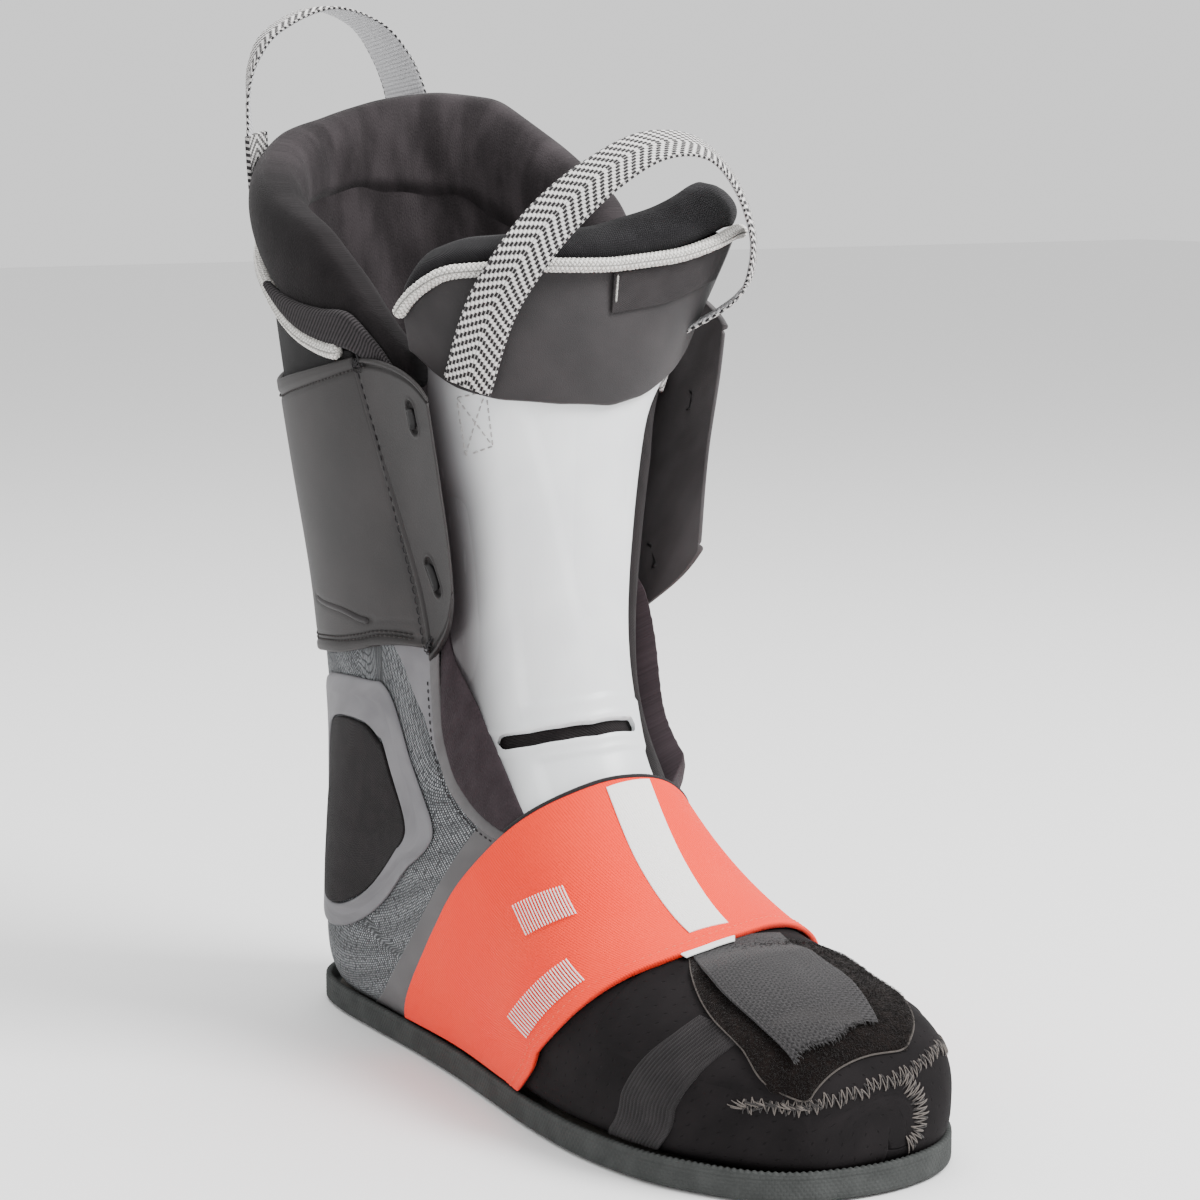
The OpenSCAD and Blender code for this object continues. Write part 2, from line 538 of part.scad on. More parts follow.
// Padded roll along the top of the tongue
module tongue_pad() {
    at = function (s, t) let (v = mix(-58, 50, s)) [mix(read(TONGUE_LINE, v), read(TONGUE_TOP, v), t), v];
    puff = function (s, t) let (q = at(s, t)) flare(q[0], q[1]);
    out = function (s, t) puff(s, t) + 1.6 * sin(180 * t) - 5 * pow(t, 4);
    in = function (s, t) puff(s, t) + tongue_foam_in - 1.2 * sin(180 * t) + 2.5 * pow(t, 4);
    color("#2b2a2d") sheet(at, in, out, 16, 6);
}
module tongue_piping() {
    line = [for (i = [0:34]) let (v = mix(-59, 50, i / 34), u = read(TONGUE_LINE, v) - 0.03)
        on(u, v, flare(u, v) + 2.9)];
    color("#e3e3df") tube(line, piping_d * 0.43, 8);
}
// Woven tag under the piping, blank
module tongue_label() {
    at = function (s, t)
        let (v = mix(1, 40, s), top = read(TONGUE_LINE, v) - 0.2) [mix(top - 0.75, top, t), v];
    low = shield_low + shield_t + 0.3;
    color("#3c3a3c") sheet(at, with_flare(at, low), with_flare(at, low + 0.5), 6, 3);
}

// ---- webbing loops ------------------------------------------------------------------------------

module front_loop() {
    color("#b8b8b8") webbing(FRONT_LOOP, 0.02, 0.98, 24);
}
// Sewn-down ends of the front loop, behind the tongue plate
module front_loop_tails() {
    out = -plate_t - 0.2;
    for (v = [-42, 44]) {
        at = function (s, t) [mix(13.2, 14.1, t), v + mix(-5, 5, s)];
        color("#b8b8b8") sheet(at, with_flare(at, out - webbing_t * 0.8), with_flare(at, out), 3, 3);
    }
}
module rear_loop() {
    color("#b8b8b8") webbing(REAR_LOOP, 0.02, 0.98, 22);
}
// Sewn-down ends of the rear loop, on the back of the collar
module rear_loop_tails() {
    low = collar_swell + 0.7;
    for (v = REAR_ENDS) {
        at = function (s, t) [mix(15.98, 16.5, t), v + mix(-6.5, 6.5, s)];
        color("#b8b8b8") sheet(at, flat_at(low), flat_at(low + webbing_t), 3, 3);
    }
}

outsole();
insole_board();
footbed();
vamp_top();
toe_side_lateral();
toe_side_medial();
forefoot_lining();
midfoot_foam_lateral();
midfoot_foam_medial();
quarter_lateral();
quarter_medial();
ankle_frame_lateral();
ankle_frame_medial();
ankle_pad_lateral();
ankle_pad_medial();
back_strip();
cuff_foam();
cuff_lining();
cuff_panel_lateral();
cuff_panel_medial();
flap_lateral();
flap_medial();
collar_mesh();
collar_roll();
collar_piping();
gusset_lateral();
gusset_medial();
instep_wrap();
wrap_stripe();
toe_loop_patch();
toe_tab();
tab_hook();
tongue_stay();
tongue_plate_lower();
tongue_foam_lower();
tongue_plate_upper();
tongue_foam();
tongue_lining();
tongue_shield();
tongue_pad();
tongue_piping();
tongue_label();
front_loop();
front_loop_tails();
rear_loop();
rear_loop_tails();
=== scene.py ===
"""Looks of a ski boot liner, built round its CAD frame. Metres, +Z up, toe towards -Y, big-toe side +X.

Most pieces are patches of one lofted surface, the same one as the CAD part's. A place on it is (u, v): u runs
from the nose (0) along the foot and up the leg to the rim (17), and v is the angle round the section in
degrees: 0 front or top, -90 outer side, 90 inner side, 180 back or sole. Offsets are metres outside it.
"""
import math

import bmesh
import bpy
import numpy as np
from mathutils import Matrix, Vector
from mathutils.kdtree import KDTree


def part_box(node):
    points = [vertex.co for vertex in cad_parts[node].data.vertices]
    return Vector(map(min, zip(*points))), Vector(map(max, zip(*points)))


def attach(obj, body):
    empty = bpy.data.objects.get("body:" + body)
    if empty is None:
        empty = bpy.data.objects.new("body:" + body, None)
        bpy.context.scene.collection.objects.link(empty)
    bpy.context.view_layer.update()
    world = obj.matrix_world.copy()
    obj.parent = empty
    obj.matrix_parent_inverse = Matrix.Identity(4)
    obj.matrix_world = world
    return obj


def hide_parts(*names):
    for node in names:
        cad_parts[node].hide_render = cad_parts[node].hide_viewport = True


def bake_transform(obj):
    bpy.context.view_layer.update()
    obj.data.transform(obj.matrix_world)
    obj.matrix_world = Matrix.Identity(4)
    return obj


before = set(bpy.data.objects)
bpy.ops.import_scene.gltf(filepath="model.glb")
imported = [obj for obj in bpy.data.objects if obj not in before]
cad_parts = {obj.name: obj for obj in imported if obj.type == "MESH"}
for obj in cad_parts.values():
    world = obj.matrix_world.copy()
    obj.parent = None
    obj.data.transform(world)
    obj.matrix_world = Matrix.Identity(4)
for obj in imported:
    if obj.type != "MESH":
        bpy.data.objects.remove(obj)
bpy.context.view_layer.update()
MM = 0.001

# ---- sizes, from the frame ------------------------------------------------------------------------

SOLE_LOW, SOLE_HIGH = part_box("outsole")
SOLE_MID_Y = (SOLE_LOW.y + SOLE_HIGH.y) / 2
LONG = (SOLE_HIGH.y - SOLE_LOW.y) / 0.291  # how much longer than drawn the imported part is
WIDE = (SOLE_HIGH.x - SOLE_LOW.x) / 0.1052
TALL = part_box("collar_roll")[1].z / 0.3186
MID_FORWARD = 0.1445 * LONG + SOLE_MID_Y  # forward distance of the origin from the back of the heel

SOLE_T = 3 * MM
RIM_H = SOLE_HIGH.z
HEM_Z = SOLE_T + 2.4 * MM
FABRIC_T = 1.8 * MM
GAP = 0.5 * MM
FOAM_OUT = -FABRIC_T - GAP - 1.1 * MM
FOAM_IN = FOAM_OUT - 7 * MM
PLUSH_OUT = FOAM_IN - GAP - 0.3 * MM
PLUSH_IN = PLUSH_OUT - 1.2 * MM
PANEL_T = 1.6 * MM
PANEL_OUT = GAP + 0.1 * MM + PANEL_T
WRAP_T = 1.4 * MM
PLATE_T = 1.2 * MM
WEBBING_W = 16 * MM
WEBBING_T = 1.6 * MM
PIPING_R = 2.2 * MM
YARN_W = 1.07  # width of one lengthwise yarn of the webbing, in millimetres

# Sections of the liner, in millimetres. Each row: front edge forward and height, back edge forward and
# height, half width, sideways shift, where it is widest (0 back, 1 front), how square its front and back are.
SECTIONS = np.array([
    [288, 19, 288, 15, 0, 5.5, 0.45, 2.2, 2.6],
    [286, 33, 285, 7, 20.5, 5.5, 0.42, 2.3, 3.2],
    [279, 44, 277, 4, 32.5, 5.5, 0.40, 2.4, 3.8],
    [265, 51, 263, 4, 41.5, 3.5, 0.38, 2.4, 4.2],
    [246, 55, 245, 4, 47.5, 1, 0.36, 2.3, 4.4],
    [226, 60, 222, 4, 51, 0, 0.35, 2.2, 4.5],
    [206, 67, 194, 4, 51, -1, 0.34, 2.1, 4.5],
    [186, 79, 160, 4, 47, -1, 0.34, 2.1, 4.5],
    [168, 95, 118, 4, 42, 0, 0.38, 2.1, 5.0],
    [154, 114, 66, 4, 39, 0, 0.44, 2.1, 5.5],
    [147, 136, 17, 5, 38, 0, 0.50, 2.1, 4.0],
    [144, 160, 4, 32, 39.5, 0, 0.52, 2.1, 2.7],
    [144, 184, 6, 82, 42.5, 0, 0.52, 2.1, 2.2],
    [145, 207, 5, 132, 47.5, 0, 0.50, 2.1, 2.1],
    [147, 229, -2, 184, 54, 0, 0.50, 2.1, 2.1],
    [149, 249, -9, 236, 59, 0, 0.50, 2.1, 2.1],
    [151, 266, -15, 286, 63, 0, 0.50, 2.1, 2.1],
    [153, 280, -18, 322, 64, 0, 0.50, 2.1, 2.1]])
LAST = len(SECTIONS) - 1

# Outline of the sole, sideways and forward, clockwise from the back of the heel, in millimetres
SOLE = np.array([[0, -1], [-17, 3], [-29, 15], [-34.5, 34], [-37, 62], [-39, 92], [-42, 122], [-46.5, 152],
                 [-51, 182], [-53, 212], [-50, 240], [-43, 259], [-33, 275], [-19, 285], [4, 290],
                 [25, 286.5],
                 [39.6, 276], [48.4, 260.5], [52, 240], [51.5, 212], [49, 182], [44.5, 152], [41.5, 122],
                 [38.5, 92], [37, 62], [34.5, 34], [29, 15], [17, 3]], float)

# Seam and edge lines: rows of [x, y] read as a smooth curve. The first letter of each pair is looked up.
THROAT = [[8.4, 52], [8.8, 57.5], [9.2, 61.5], [9.8, 65], [10.5, 66.5], [11.2, 65.5], [12.6, 64]]  # u, v
PANEL_HEM = [[64, 11.35], [75, 11.7], [92, 12.1], [116, 12.5], [180, 13.2]]  # v, u
PANEL_TOP = [[70, 14.65], [92, 14.6], [123, 14.6], [180, 14.9]]  # v, u
FLAP_SEAM = [[11.3, 67], [13.1, 73], [14.8, 79]]  # u, v
FLAP_EDGE = [[11.2, 52], [12.9, 51], [14.2, 50]]  # u, v
COLLAR_LINE = [[58, 14.1], [68, 14.5], [78, 14.8], [85, 14.85], [97, 15.06], [114, 15.45], [140, 15.8],
               [180, 15.9]]  # v, u
RIM = [[58, 14.5], [68, 14.95], [78, 15.6], [90, 16.25], [110, 16.7], [130, 17.05], [150, 17], [170, 16.85],
       [190, 16.65], [210, 16.55], [230, 16.35], [250, 16.15], [270, 15.95], [282, 15.5], [292, 14.95],
       [302, 14.5]]  # v, u
WRAP_REAR = [[-120, 8.7], [-80, 8.78], [-50, 8.6], [-25, 8.38], [0, 8.28], [35, 8.25], [80, 8.6], [120, 8.6]]
WRAP_FRONT = [[-120, 6.7], [-95, 6.4], [-77, 6.0], [-57, 5.66], [-42, 5.42], [-29, 5.22], [-15, 5.12],
              [0, 5.18], [15, 5.38], [35, 5.65], [74, 6.1], [120, 6.6]]
TONGUE_LINE = [[-62, 14.85], [-56, 15.25], [-45, 15.65], [-20, 15.85], [0, 15.85], [20, 16], [40, 16.4],
               [52, 16.2]]  # v, u
TONGUE_TOP = [[-62, 15.1], [-52, 15.85], [-40, 16.15], [-20, 16.35], [0, 16.5], [20, 16.9], [36, 17.35],
              [52, 17]]  # v, u
SHIELD_LOW = [[-58, 14.65], [-52, 14.3], [-46, 14.06], [-34, 13.8], [-15, 13.58], [4, 13.48], [20, 13.66],
              [36, 14.05], [52, 14.6]]  # v, u
SLOT = [[-50, 9.82], [-46, 9.7], [-35, 9.45], [-22, 9.25], [-8, 9.12], [10, 9.13], [16, 9.18]]  # v, u
PLATE_INNER = [[5.4, 30], [7.6, 18], [8.4, 16], [9.6, 25], [11.5, 28], [13.6, 30], [14.4, 44],
               [15, 48]]  # u, v
PLATE_OUTER = [[5.4, 40], [8, 47], [9.7, 50.5], [10.8, 57.5], [11.6, 61], [13.6, 59], [14.3, 54],
               [15, 52]]  # u, v
# Outline of the ankle window, and its middle: u, v
WINDOW = np.array([[12.0, 122], [11.5, 95], [10.7, 87], [9.9, 86], [10.15, 104], [10.9, 132], [11.6, 138]])
WINDOW_MID = np.array([10.95, 109])

# Middle line of the loop webbing, in millimetres: sideways, forward, height, then the way its width points
FRONT_LOOP = np.array([
    [-40.2, 130.5, 223, 0.67, 0.64, -0.38], [-40, 134, 230, 0.7, 0.62, -0.36],
    [-39.5, 139, 241, 0.75, 0.58, -0.3], [-38, 144.5, 252, 0.8, 0.5, -0.3],
    [-33.5, 151, 264, 0.78, 0.5, -0.35],
    [-24, 155, 277, 0.6, 0.65, -0.45], [-10, 160, 290, 0.3, 0.8, -0.5],
    [8, 163, 299.5, 0.05, 0.85, -0.5], [27, 162.5, 299, -0.2, 0.85, -0.45],
    [44, 157.5, 288, -0.45, 0.8, -0.4],
    [55, 152.5, 272, -0.6, 0.75, -0.3], [58, 147.5, 258, -0.7, 0.68, -0.25],
    [55, 144.5, 251, -0.72, 0.66, -0.2],
    [50, 140.5, 246, -0.72, 0.66, -0.15], [45.5, 135, 242, -0.72, 0.66, -0.15],
    [42, 128, 238, -0.72, 0.66, -0.15]])
REAR_LOOP = np.array([
    [-40, -9, 295, -0.65, 0.75, 0.1], [-40, -11, 304, -0.55, 0.83, 0.1], [-39.5, -13, 316, -0.45, 0.88, 0],
    [-36, -15, 328, -0.3, 0.95, 0], [-27, -17, 339, -0.1, 1, 0], [-8, -18, 347, 0.1, 1, 0],
    [10, -18, 342, 0.3, 0.95, 0],
    [21, -18, 330, 0.5, 0.87, 0], [27, -18, 316, 0.62, 0.78, 0], [28.5, -18, 304, 0.65, 0.76, 0.1],
    [29, -17, 296, 0.68, 0.73, 0.1]])


# ---- curves and the liner's surface -----------------------------------------------------------------

def mix(a, b, t):
    """From a, where t is 0, to b, where it is 1."""
    return a + (b - a) * t


def ease(low, high, x):
    """Smooth step from 0 at low to 1 at high."""
    t = np.clip((x - low) / (high - low), 0, 1)
    return t * t * (3 - 2 * t)


def read(table, x):
    """Value of a table of [x, y] rows at x, with rounded corners."""
    xs, ys = np.array(table, float).T
    reach = 0.12 * (xs[-1] - xs[0]) / (len(xs) - 1)
    look = lambda q: np.interp(q, xs, ys)
    return (look(x - 2 * reach) + 2 * look(x - reach) + 3 * look(x) + 2 * look(x + reach)
            + look(x + 2 * reach)) / 9


def cubic(a, b, c, d, t):
    """Cubic through b and c, with a before and d after."""
    square, cube = 2 * a - 5 * b + 4 * c - d, 3 * b - a - 3 * c + d
    return 0.5 * (2 * b + (c - a) * t + square * t * t + cube * t ** 3)


def round_loop(corners, t):
    """Points at t, 0 to 1, round a closed list of corners."""
    n = len(corners)
    x = np.asarray(t, float) * n
    i = np.floor(x).astype(int)
    pick = lambda k: corners[(i + k) % n]
    return cubic(pick(-1), pick(0), pick(1), pick(2), (x - i)[..., None])


def along(corners, t):
    """Points at t, 0 to 1, along an open list of points."""
    full = np.vstack([2 * corners[0] - corners[1], corners, 2 * corners[-1] - corners[-2]])
    x = np.clip(np.asarray(t, float), 0, 1) * (len(corners) - 1)
    i = np.minimum(np.floor(x).astype(int), len(corners) - 2)
    return cubic(full[i], full[i + 1], full[i + 2], full[i + 3], (x - i)[..., None])


def padded_sections():
    """The sections with a mirrored row before the nose and one row past the rim."""
    nose = SECTIONS[1].copy()
    nose[[0, 1, 2, 3]] = SECTIONS[1][[2, 3, 0, 1]]
    nose[4] = -nose[4]
    return np.vstack([nose, SECTIONS, 2 * SECTIONS[-1] - SECTIONS[-2]])


ROWS = padded_sections()
SIDES = ((-1, "lateral"), (1, "medial"))


def section(u):
    """Row of SECTIONS at u, between its whole rows too."""
    i = np.clip(np.floor(u).astype(int), 0, LAST - 1)
    return cubic(ROWS[i], ROWS[i + 1], ROWS[i + 2], ROWS[i + 3], (u - i)[..., None])


def bend(x, n):
    """Cosine or sine x of a circle, squared off as a superellipse of power n."""
    return np.sign(x) * np.abs(x) ** (2 / n)


def place(x, forward, z):
    """From sideways, forward and height as drawn, in millimetres, to a point of the part."""
    return np.stack([x * MM * WIDE, MID_FORWARD - forward * MM * LONG, z * MM * TALL], -1)


def surface(u, v, off=0.0):
    """Points at (u, v), off metres outside the surface."""
    u, v, off = np.broadcast_arrays(np.asarray(u, float), np.asarray(v, float), np.asarray(off, float) / MM)
    s = section(u)
    turn = np.radians(v)
    c, sn = np.cos(turn), np.sin(turn)
    square = np.where(c > 0, s[..., 7], s[..., 8])
    reach = bend(c, square)
    t = np.where(reach > 0, s[..., 6] + (1 - s[..., 6]) * reach, s[..., 6] + s[..., 6] * reach)
    run = s[..., 0:2] - s[..., 2:4]
    out = off[..., None] * run / np.linalg.norm(run, axis=-1, keepdims=True)
    back, front = s[..., 2:4] - out, s[..., 0:2] + out
    q = back + (front - back) * t[..., None]
    nose = off * np.clip(1 - u, 0, 1)
    return place(s[..., 5] + (s[..., 4] + off) * bend(sn, square), q[..., 0] + nose, q[..., 1])


def outward(u, v, off=0.0):
    """Unit normals of the surface at (u, v)."""
    du, dv = 0.02, 0.6
    a = surface(u + du, v, off) - surface(np.maximum(u - du, 0.01), v, off)
    b = surface(u, v + dv, off) - surface(u, v - dv, off)
    grow = surface(u, v, off + MM) - surface(u, v, off)
    n = np.cross(a, b)
    size = np.linalg.norm(n, axis=-1, keepdims=True)
    n = np.where(size > 1e-9, n / np.maximum(size, 1e-12), grow / MM)
    n *= np.where((n * grow).sum(-1, keepdims=True) < 0, -1.0, 1.0)
    return n / np.maximum(np.linalg.norm(n, axis=-1, keepdims=True), 1e-9)


def sole_v(u, z):
    """Angle at which the section at u comes down to height z near the sole."""
    s = section(u)
    c = ((z / MM / TALL - s[..., 3]) / (s[..., 1] - s[..., 3]) - s[..., 6]) / s[..., 6]
    return np.degrees(np.arccos(-np.clip(-c, 0, 1) ** (s[..., 8] / 2)))


def heel_u(v, z, low):
    """Lowest u, not under low, at which the line of angle v is above height z, found by halving."""
    above_heel, halvings = 10.8, 14
    lo, hi = np.full_like(v, low), np.full_like(v, above_heel)
    start = surface(lo, v)[..., 2] > z
    for _ in range(halvings):
        m = (lo + hi) / 2
        above = surface(m, v)[..., 2] > z
        hi, lo = np.where(above, m, hi), np.where(above, lo, m)
    return np.where(start, low, hi)


def straight(table, x):
    """Value of a table of [x, y] rows at x, with sharp corners."""
    return np.interp(x, *np.array(table, float).T)


def half(v):
    """Angle as read in the tables, which hold one side only."""
    return np.where(v > 180, 360 - v, v)


def flare(u, v):
    """How far the top of the tongue splays out, more on the inner side."""
    inner = 16 * ease(13.2, 16.6, u) * ease(0, 50, v)
    outer = 3 * ease(13.5, 16, u) * ease(10, 55, -v)
    return (inner + outer) * MM


# ---- meshes -----------------------------------------------------------------------------------------

def unit(vectors):
    """The vectors at length 1."""
    return vectors / np.linalg.norm(vectors, axis=-1, keepdims=True)


def lengths(points, axis):
    """Cumulative length along one axis of a grid of points."""
    step = np.linalg.norm(np.diff(points, axis=axis), axis=-1)
    zero = np.zeros_like(np.take(step, [0], axis=axis))
    return np.cumsum(np.concatenate([zero, step], axis=axis), axis=axis)


def mesh_object(name, points, faces, maps, look=None):
    """A smooth mesh object; maps holds one 2-D coordinate per vertex for each named map."""
    mesh = bpy.data.meshes.new(name)
    corners = faces.tolist() if hasattr(faces, "tolist") else faces
    mesh.from_pydata(np.asarray(points).reshape(-1, 3).tolist(), [], corners)
    corner = np.zeros(len(mesh.loops), np.int32)
    mesh.loops.foreach_get("vertex_index", corner)
    for layer, values in maps.items():
        uv = mesh.uv_layers.new(name=layer)
        uv.data.foreach_set("uv", np.asarray(values, np.float32).reshape(-1, 2)[corner].ravel())
    mesh.polygons.foreach_set("use_smooth", np.ones(len(mesh.polygons), bool))
    made = bpy.data.objects.new(name, mesh)
    bpy.context.scene.collection.objects.link(made)
    if look:
        mesh.materials.append(LOOKS[look])
    return made


def face_outward(made):
    """Turns every face of a closed mesh outwards."""
    bm = bmesh.new()
    bm.from_mesh(made.data)
    bmesh.ops.recalc_face_normals(bm, faces=bm.faces)
    bm.to_mesh(made.data)
    bm.free()


def grid_faces(nt, ns, wrapped=False):
    """Quads of a grid of nt + 1 rows; wrapped joins its last column to its first."""
    width = ns if wrapped else ns + 1
    j, i = np.meshgrid(np.arange(nt), np.arange(ns), indexing="ij")
    k = (i + 1) % width if wrapped else i + 1
    quads = [j * width + i, j * width + k, (j + 1) * width + k, (j + 1) * width + i]
    return np.stack(quads, -1).reshape(-1, 4)


def cap_faces(sides, rows):
    """The two end faces of a tube of rows rings with the given number of sides."""
    return [list(range(sides))[::-1], [(rows - 1) * sides + k for k in range(sides)]]


def shell_faces(nt, ns, wrapped=False):
    """Faces of a closed shell between two grids, the outer one first."""
    width = ns if wrapped else ns + 1
    size = width * (nt + 1)
    outer = grid_faces(nt, ns, wrapped)
    inner = outer[:, ::-1] + size
    i = np.arange(ns)
    k = (i + 1) % width if wrapped else i + 1
    top = nt * width
    edges = [(k, i), (top + i, top + k)]
    if not wrapped:
        left = np.arange(nt) * width
        edges += [(left, left + width), (left + width + ns, left + ns)]
    return np.vstack([outer, inner, *(np.stack([a, b, b + size, a + size], -1) for a, b in edges)])


def spaced(length, step, roll):
    """Places 0 to 1 about step apart, with closer ones within roll of both ends."""
    base = np.linspace(0, 1, max(3, int(math.ceil(length / step)) + 1))
    if not roll:
        return base
    close = np.array([0, 0.06, 0.2, 0.45, 0.75, 1.0]) * min(roll / length, 0.4)
    keep = base[(base > close[-1] * 1.2) & (base < 1 - close[-1] * 1.2)]
    return np.concatenate([close, keep, 1 - close[::-1]])


def patch(name, at, off, thick, look, step=1.2, step_t=None, roll=0.0, drop=0.0, relief=None, wrapped=False,
          inner_off=None):
    """Closed sheet on the surface. at(s, t) gives (u, v); off is a number or a function of (u, v); its edges
    come down by drop over the distance roll, both in millimetres; relief(u, v, points) adds metres along the
    normal."""
    roll, drop = roll * MM, drop * MM
    s, t = np.meshgrid(np.linspace(0, 1, 25), np.linspace(0, 1, 25))
    rough = surface(*at(s, t), 0.0)
    long_s, long_t = lengths(rough, 1)[:, -1].max(), lengths(rough, 0)[-1].max()
    places_s = spaced(long_s, step * MM, 0 if wrapped else roll)
    places_t = spaced(long_t, (step_t or step) * MM, roll)
    if wrapped:
        places_s = places_s[:-1]
    s, t = np.meshgrid(places_s, places_t)
    u, v = at(s, t)
    base = off(u, v) if callable(off) else np.full_like(u, off)
    points = surface(u, v, base)
    around, up = lengths(points, 1), lengths(points, 0)
    rise = np.zeros_like(u)
    if roll:
        side = np.minimum(up, up[-1] - up)
        if not wrapped:
            side = np.minimum(side, np.minimum(around, around[:, -1:] - around))
        x = 1 - np.clip(side / roll, 0, 1)
        rise -= drop * (1 - np.sqrt(1 - x * x * 0.9999))
    if relief:
        rise += relief(u, v, points)
    outer = points + outward(u, v, base) * rise[..., None]
    inner = surface(u, v, inner_off(u, v) if inner_off else base - thick)
    middle = around[:, around.shape[1] // 2, None]
    cloth = np.stack([around - middle, up], -1) / MM
    where = np.stack([u, v], -1)
    rows, columns = u.shape[0] - 1, u.shape[1] - (0 if wrapped else 1)
    twice = lambda grid: np.concatenate([grid.reshape(-1, 2)] * 2)
    made = mesh_object(name, np.concatenate([outer.reshape(-1, 3), inner.reshape(-1, 3)]),
                       shell_faces(rows, columns, wrapped), {"cloth": twice(cloth), "place": twice(where)},
                       look)
    face_outward(made)
    made["flat"] = [float(around[:, -1].max()), float(up[-1].max())]
    quads = np.cross(np.diff(points, axis=0)[:, :-1], np.diff(points, axis=1)[:-1])
    made["area"] = float(np.linalg.norm(quads, axis=-1).sum())
    return made


def cloth_piece(made, body, slot, held, rests_on, *nodes):
    """Finishes a patch that is a sheet of cloth, as finish_piece does."""
    finish_piece(made, body, slot, *nodes)
    return made


def finish_piece(made, body, slot, *nodes):
    """Puts a piece on its body; slot is not used. It stands for the CAD nodes, if any."""
    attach(made, body)
    if nodes:
        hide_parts(*nodes)
    return made


def resample(points, step):
    """Points of a line at equal steps, and their distances along it."""
    run = lengths(points, 0)
    n = max(2, int(round(run[-1] / step)) + 1)
    want = np.linspace(0, run[-1], n)
    return np.stack([np.interp(want, run, points[:, k]) for k in range(3)], -1), want


def trace(places, off=0.0, n=400):
    """Points and normals of a line on the surface through given (u, v) corners."""
    uv = along(np.array(places, float), np.linspace(0, 1, n))
    lift = off(uv[:, 0], uv[:, 1]) if callable(off) else off
    return surface(uv[:, 0], uv[:, 1], lift), outward(uv[:, 0], uv[:, 1], lift)


def follow(line, distances):
    """Points, normals and directions of a traced line at distances along it."""
    points, normals = line
    run = lengths(points, 0)
    pick = lambda a, at: np.stack([np.interp(at, run, a[:, k]) for k in range(3)], -1)
    way = pick(points, distances + 0.3 * MM) - pick(points, distances - 0.3 * MM)
    return pick(points, distances), unit(pick(normals, distances)), unit(way)


def threads(name, starts, ends, normals, sizes, look, rings=7, sides=6):
    """Stitches: short arched threads from starts to ends, dipping in at both ends. Sizes are a thread's
    radius, its rise in the middle and how far its ends sink, in millimetres."""
    radius, rise, sink = (size * MM for size in sizes)
    x = np.linspace(0, 1, rings)
    size = np.linalg.norm(ends - starts, axis=-1, keepdims=True)
    way = (ends - starts) / size
    side = unit(np.cross(normals, way))
    up = np.cross(way, side)
    lift = rise * np.sin(np.pi * x) ** 0.6 - sink * np.abs(2 * x - 1) ** 4
    centre = starts[:, None] + (ends - starts)[:, None] * x[None, :, None] + up[:, None] * lift[None, :, None]
    turn = np.linspace(0, 2 * np.pi, sides, endpoint=False)
    wide = radius * (0.75 + 0.25 * np.sin(np.pi * x))
    across, above = (f(turn)[None, None, :, None] for f in (np.cos, np.sin))
    ring = side[:, None, None] * across + up[:, None, None] * above * 0.8
    points = centre[:, :, None] + ring * wide[None, :, None, None]
    firsts = np.arange(len(starts)) * rings * sides
    quads = (grid_faces(rings - 1, sides, True)[None] + firsts[:, None, None]).reshape(-1, 4).tolist()
    lids = cap_faces(sides, rings)
    caps = [[corner + first for corner in lid] for first in firsts.tolist() for lid in lids]
    share, run = turn[None, None, :] / 2 / np.pi, x[None, :, None] * size[:, :, None] / MM
    twist = np.stack(np.broadcast_arrays(share, run), -1)
    return mesh_object(name, points.reshape(-1, 3), quads + caps, {"cloth": twist.reshape(-1, 2)}, look)


def running(line, pitch, length, start=0.0, side=0.0):
    """Starts, ends and normals of a running stitch along a traced line, side metres beside it."""
    at = np.arange(start, lengths(line[0], 0)[-1] - length, pitch)
    a, na, wa = follow(line, at)
    b, nb, wb = follow(line, at + length)
    return a + np.cross(na, wa) * side, b + np.cross(nb, wb) * side, na


def zigzag(line, width, pitch, jitter, seed):
    """Starts, ends and normals of a zigzag stitch across a traced line."""
    at = np.arange(0, lengths(line[0], 0)[-1], pitch / 2)
    p, n, w = follow(line, at)
    rng = np.random.default_rng(seed)
    turn = np.where(np.arange(len(at)) % 2 == 0, -0.5, 0.5)
    sway = turn * width * (1 + jitter * rng.uniform(-1, 1, len(at)))
    slip = pitch * jitter * 0.5 * rng.uniform(-1, 1, len(at))
    corner = p + np.cross(n, w) * sway[:, None] + w * slip[:, None]
    return corner[:-1], corner[1:], n[:-1]


def tube(name, points, radius, look, sides, step, relief):
    """Round cord along points, with relief(turns, distance) added to its radius, and round ends."""
    line, run = resample(points, step)
    way = unit(np.gradient(line, axis=0))
    a = unit(np.cross(way, np.array([0.0, 0.0, 1.0])))
    b = np.cross(a, way)
    turn = np.linspace(0, 1, sides, endpoint=False)
    t, d = np.meshgrid(turn, run)
    end = np.minimum(run, run[-1] - run)
    taper = np.sqrt(np.clip(1 - (1 - np.clip(end / radius, 0, 1)) ** 2, 0.0004, 1))
    r = (radius + relief(t, d)) * taper[:, None]
    ring = a[:, None] * np.cos(2 * np.pi * t)[..., None] + b[:, None] * np.sin(2 * np.pi * t)[..., None]
    grid = line[:, None] + ring * r[..., None]
    faces = grid_faces(len(line) - 1, sides, True).tolist() + cap_faces(sides, len(line))
    cloth = np.stack([t * 2 * np.pi * PIPING_R, d], -1).reshape(-1, 2) / MM
    made = mesh_object(name, grid.reshape(-1, 3), faces, {"cloth": cloth}, look)
    face_outward(made)
    return made


def braid_relief(strands, lay, depth):
    """Over-and-under relief of a braided cord."""
    def relief(turn, distance):
        a, b = turn * strands + distance / lay * strands, turn * strands - distance / lay * strands
        over = (np.floor(a) + np.floor(b)) % 2
        return depth * np.where(over > 0, np.abs(np.sin(np.pi * a)), np.abs(np.sin(np.pi * b)))
    return relief


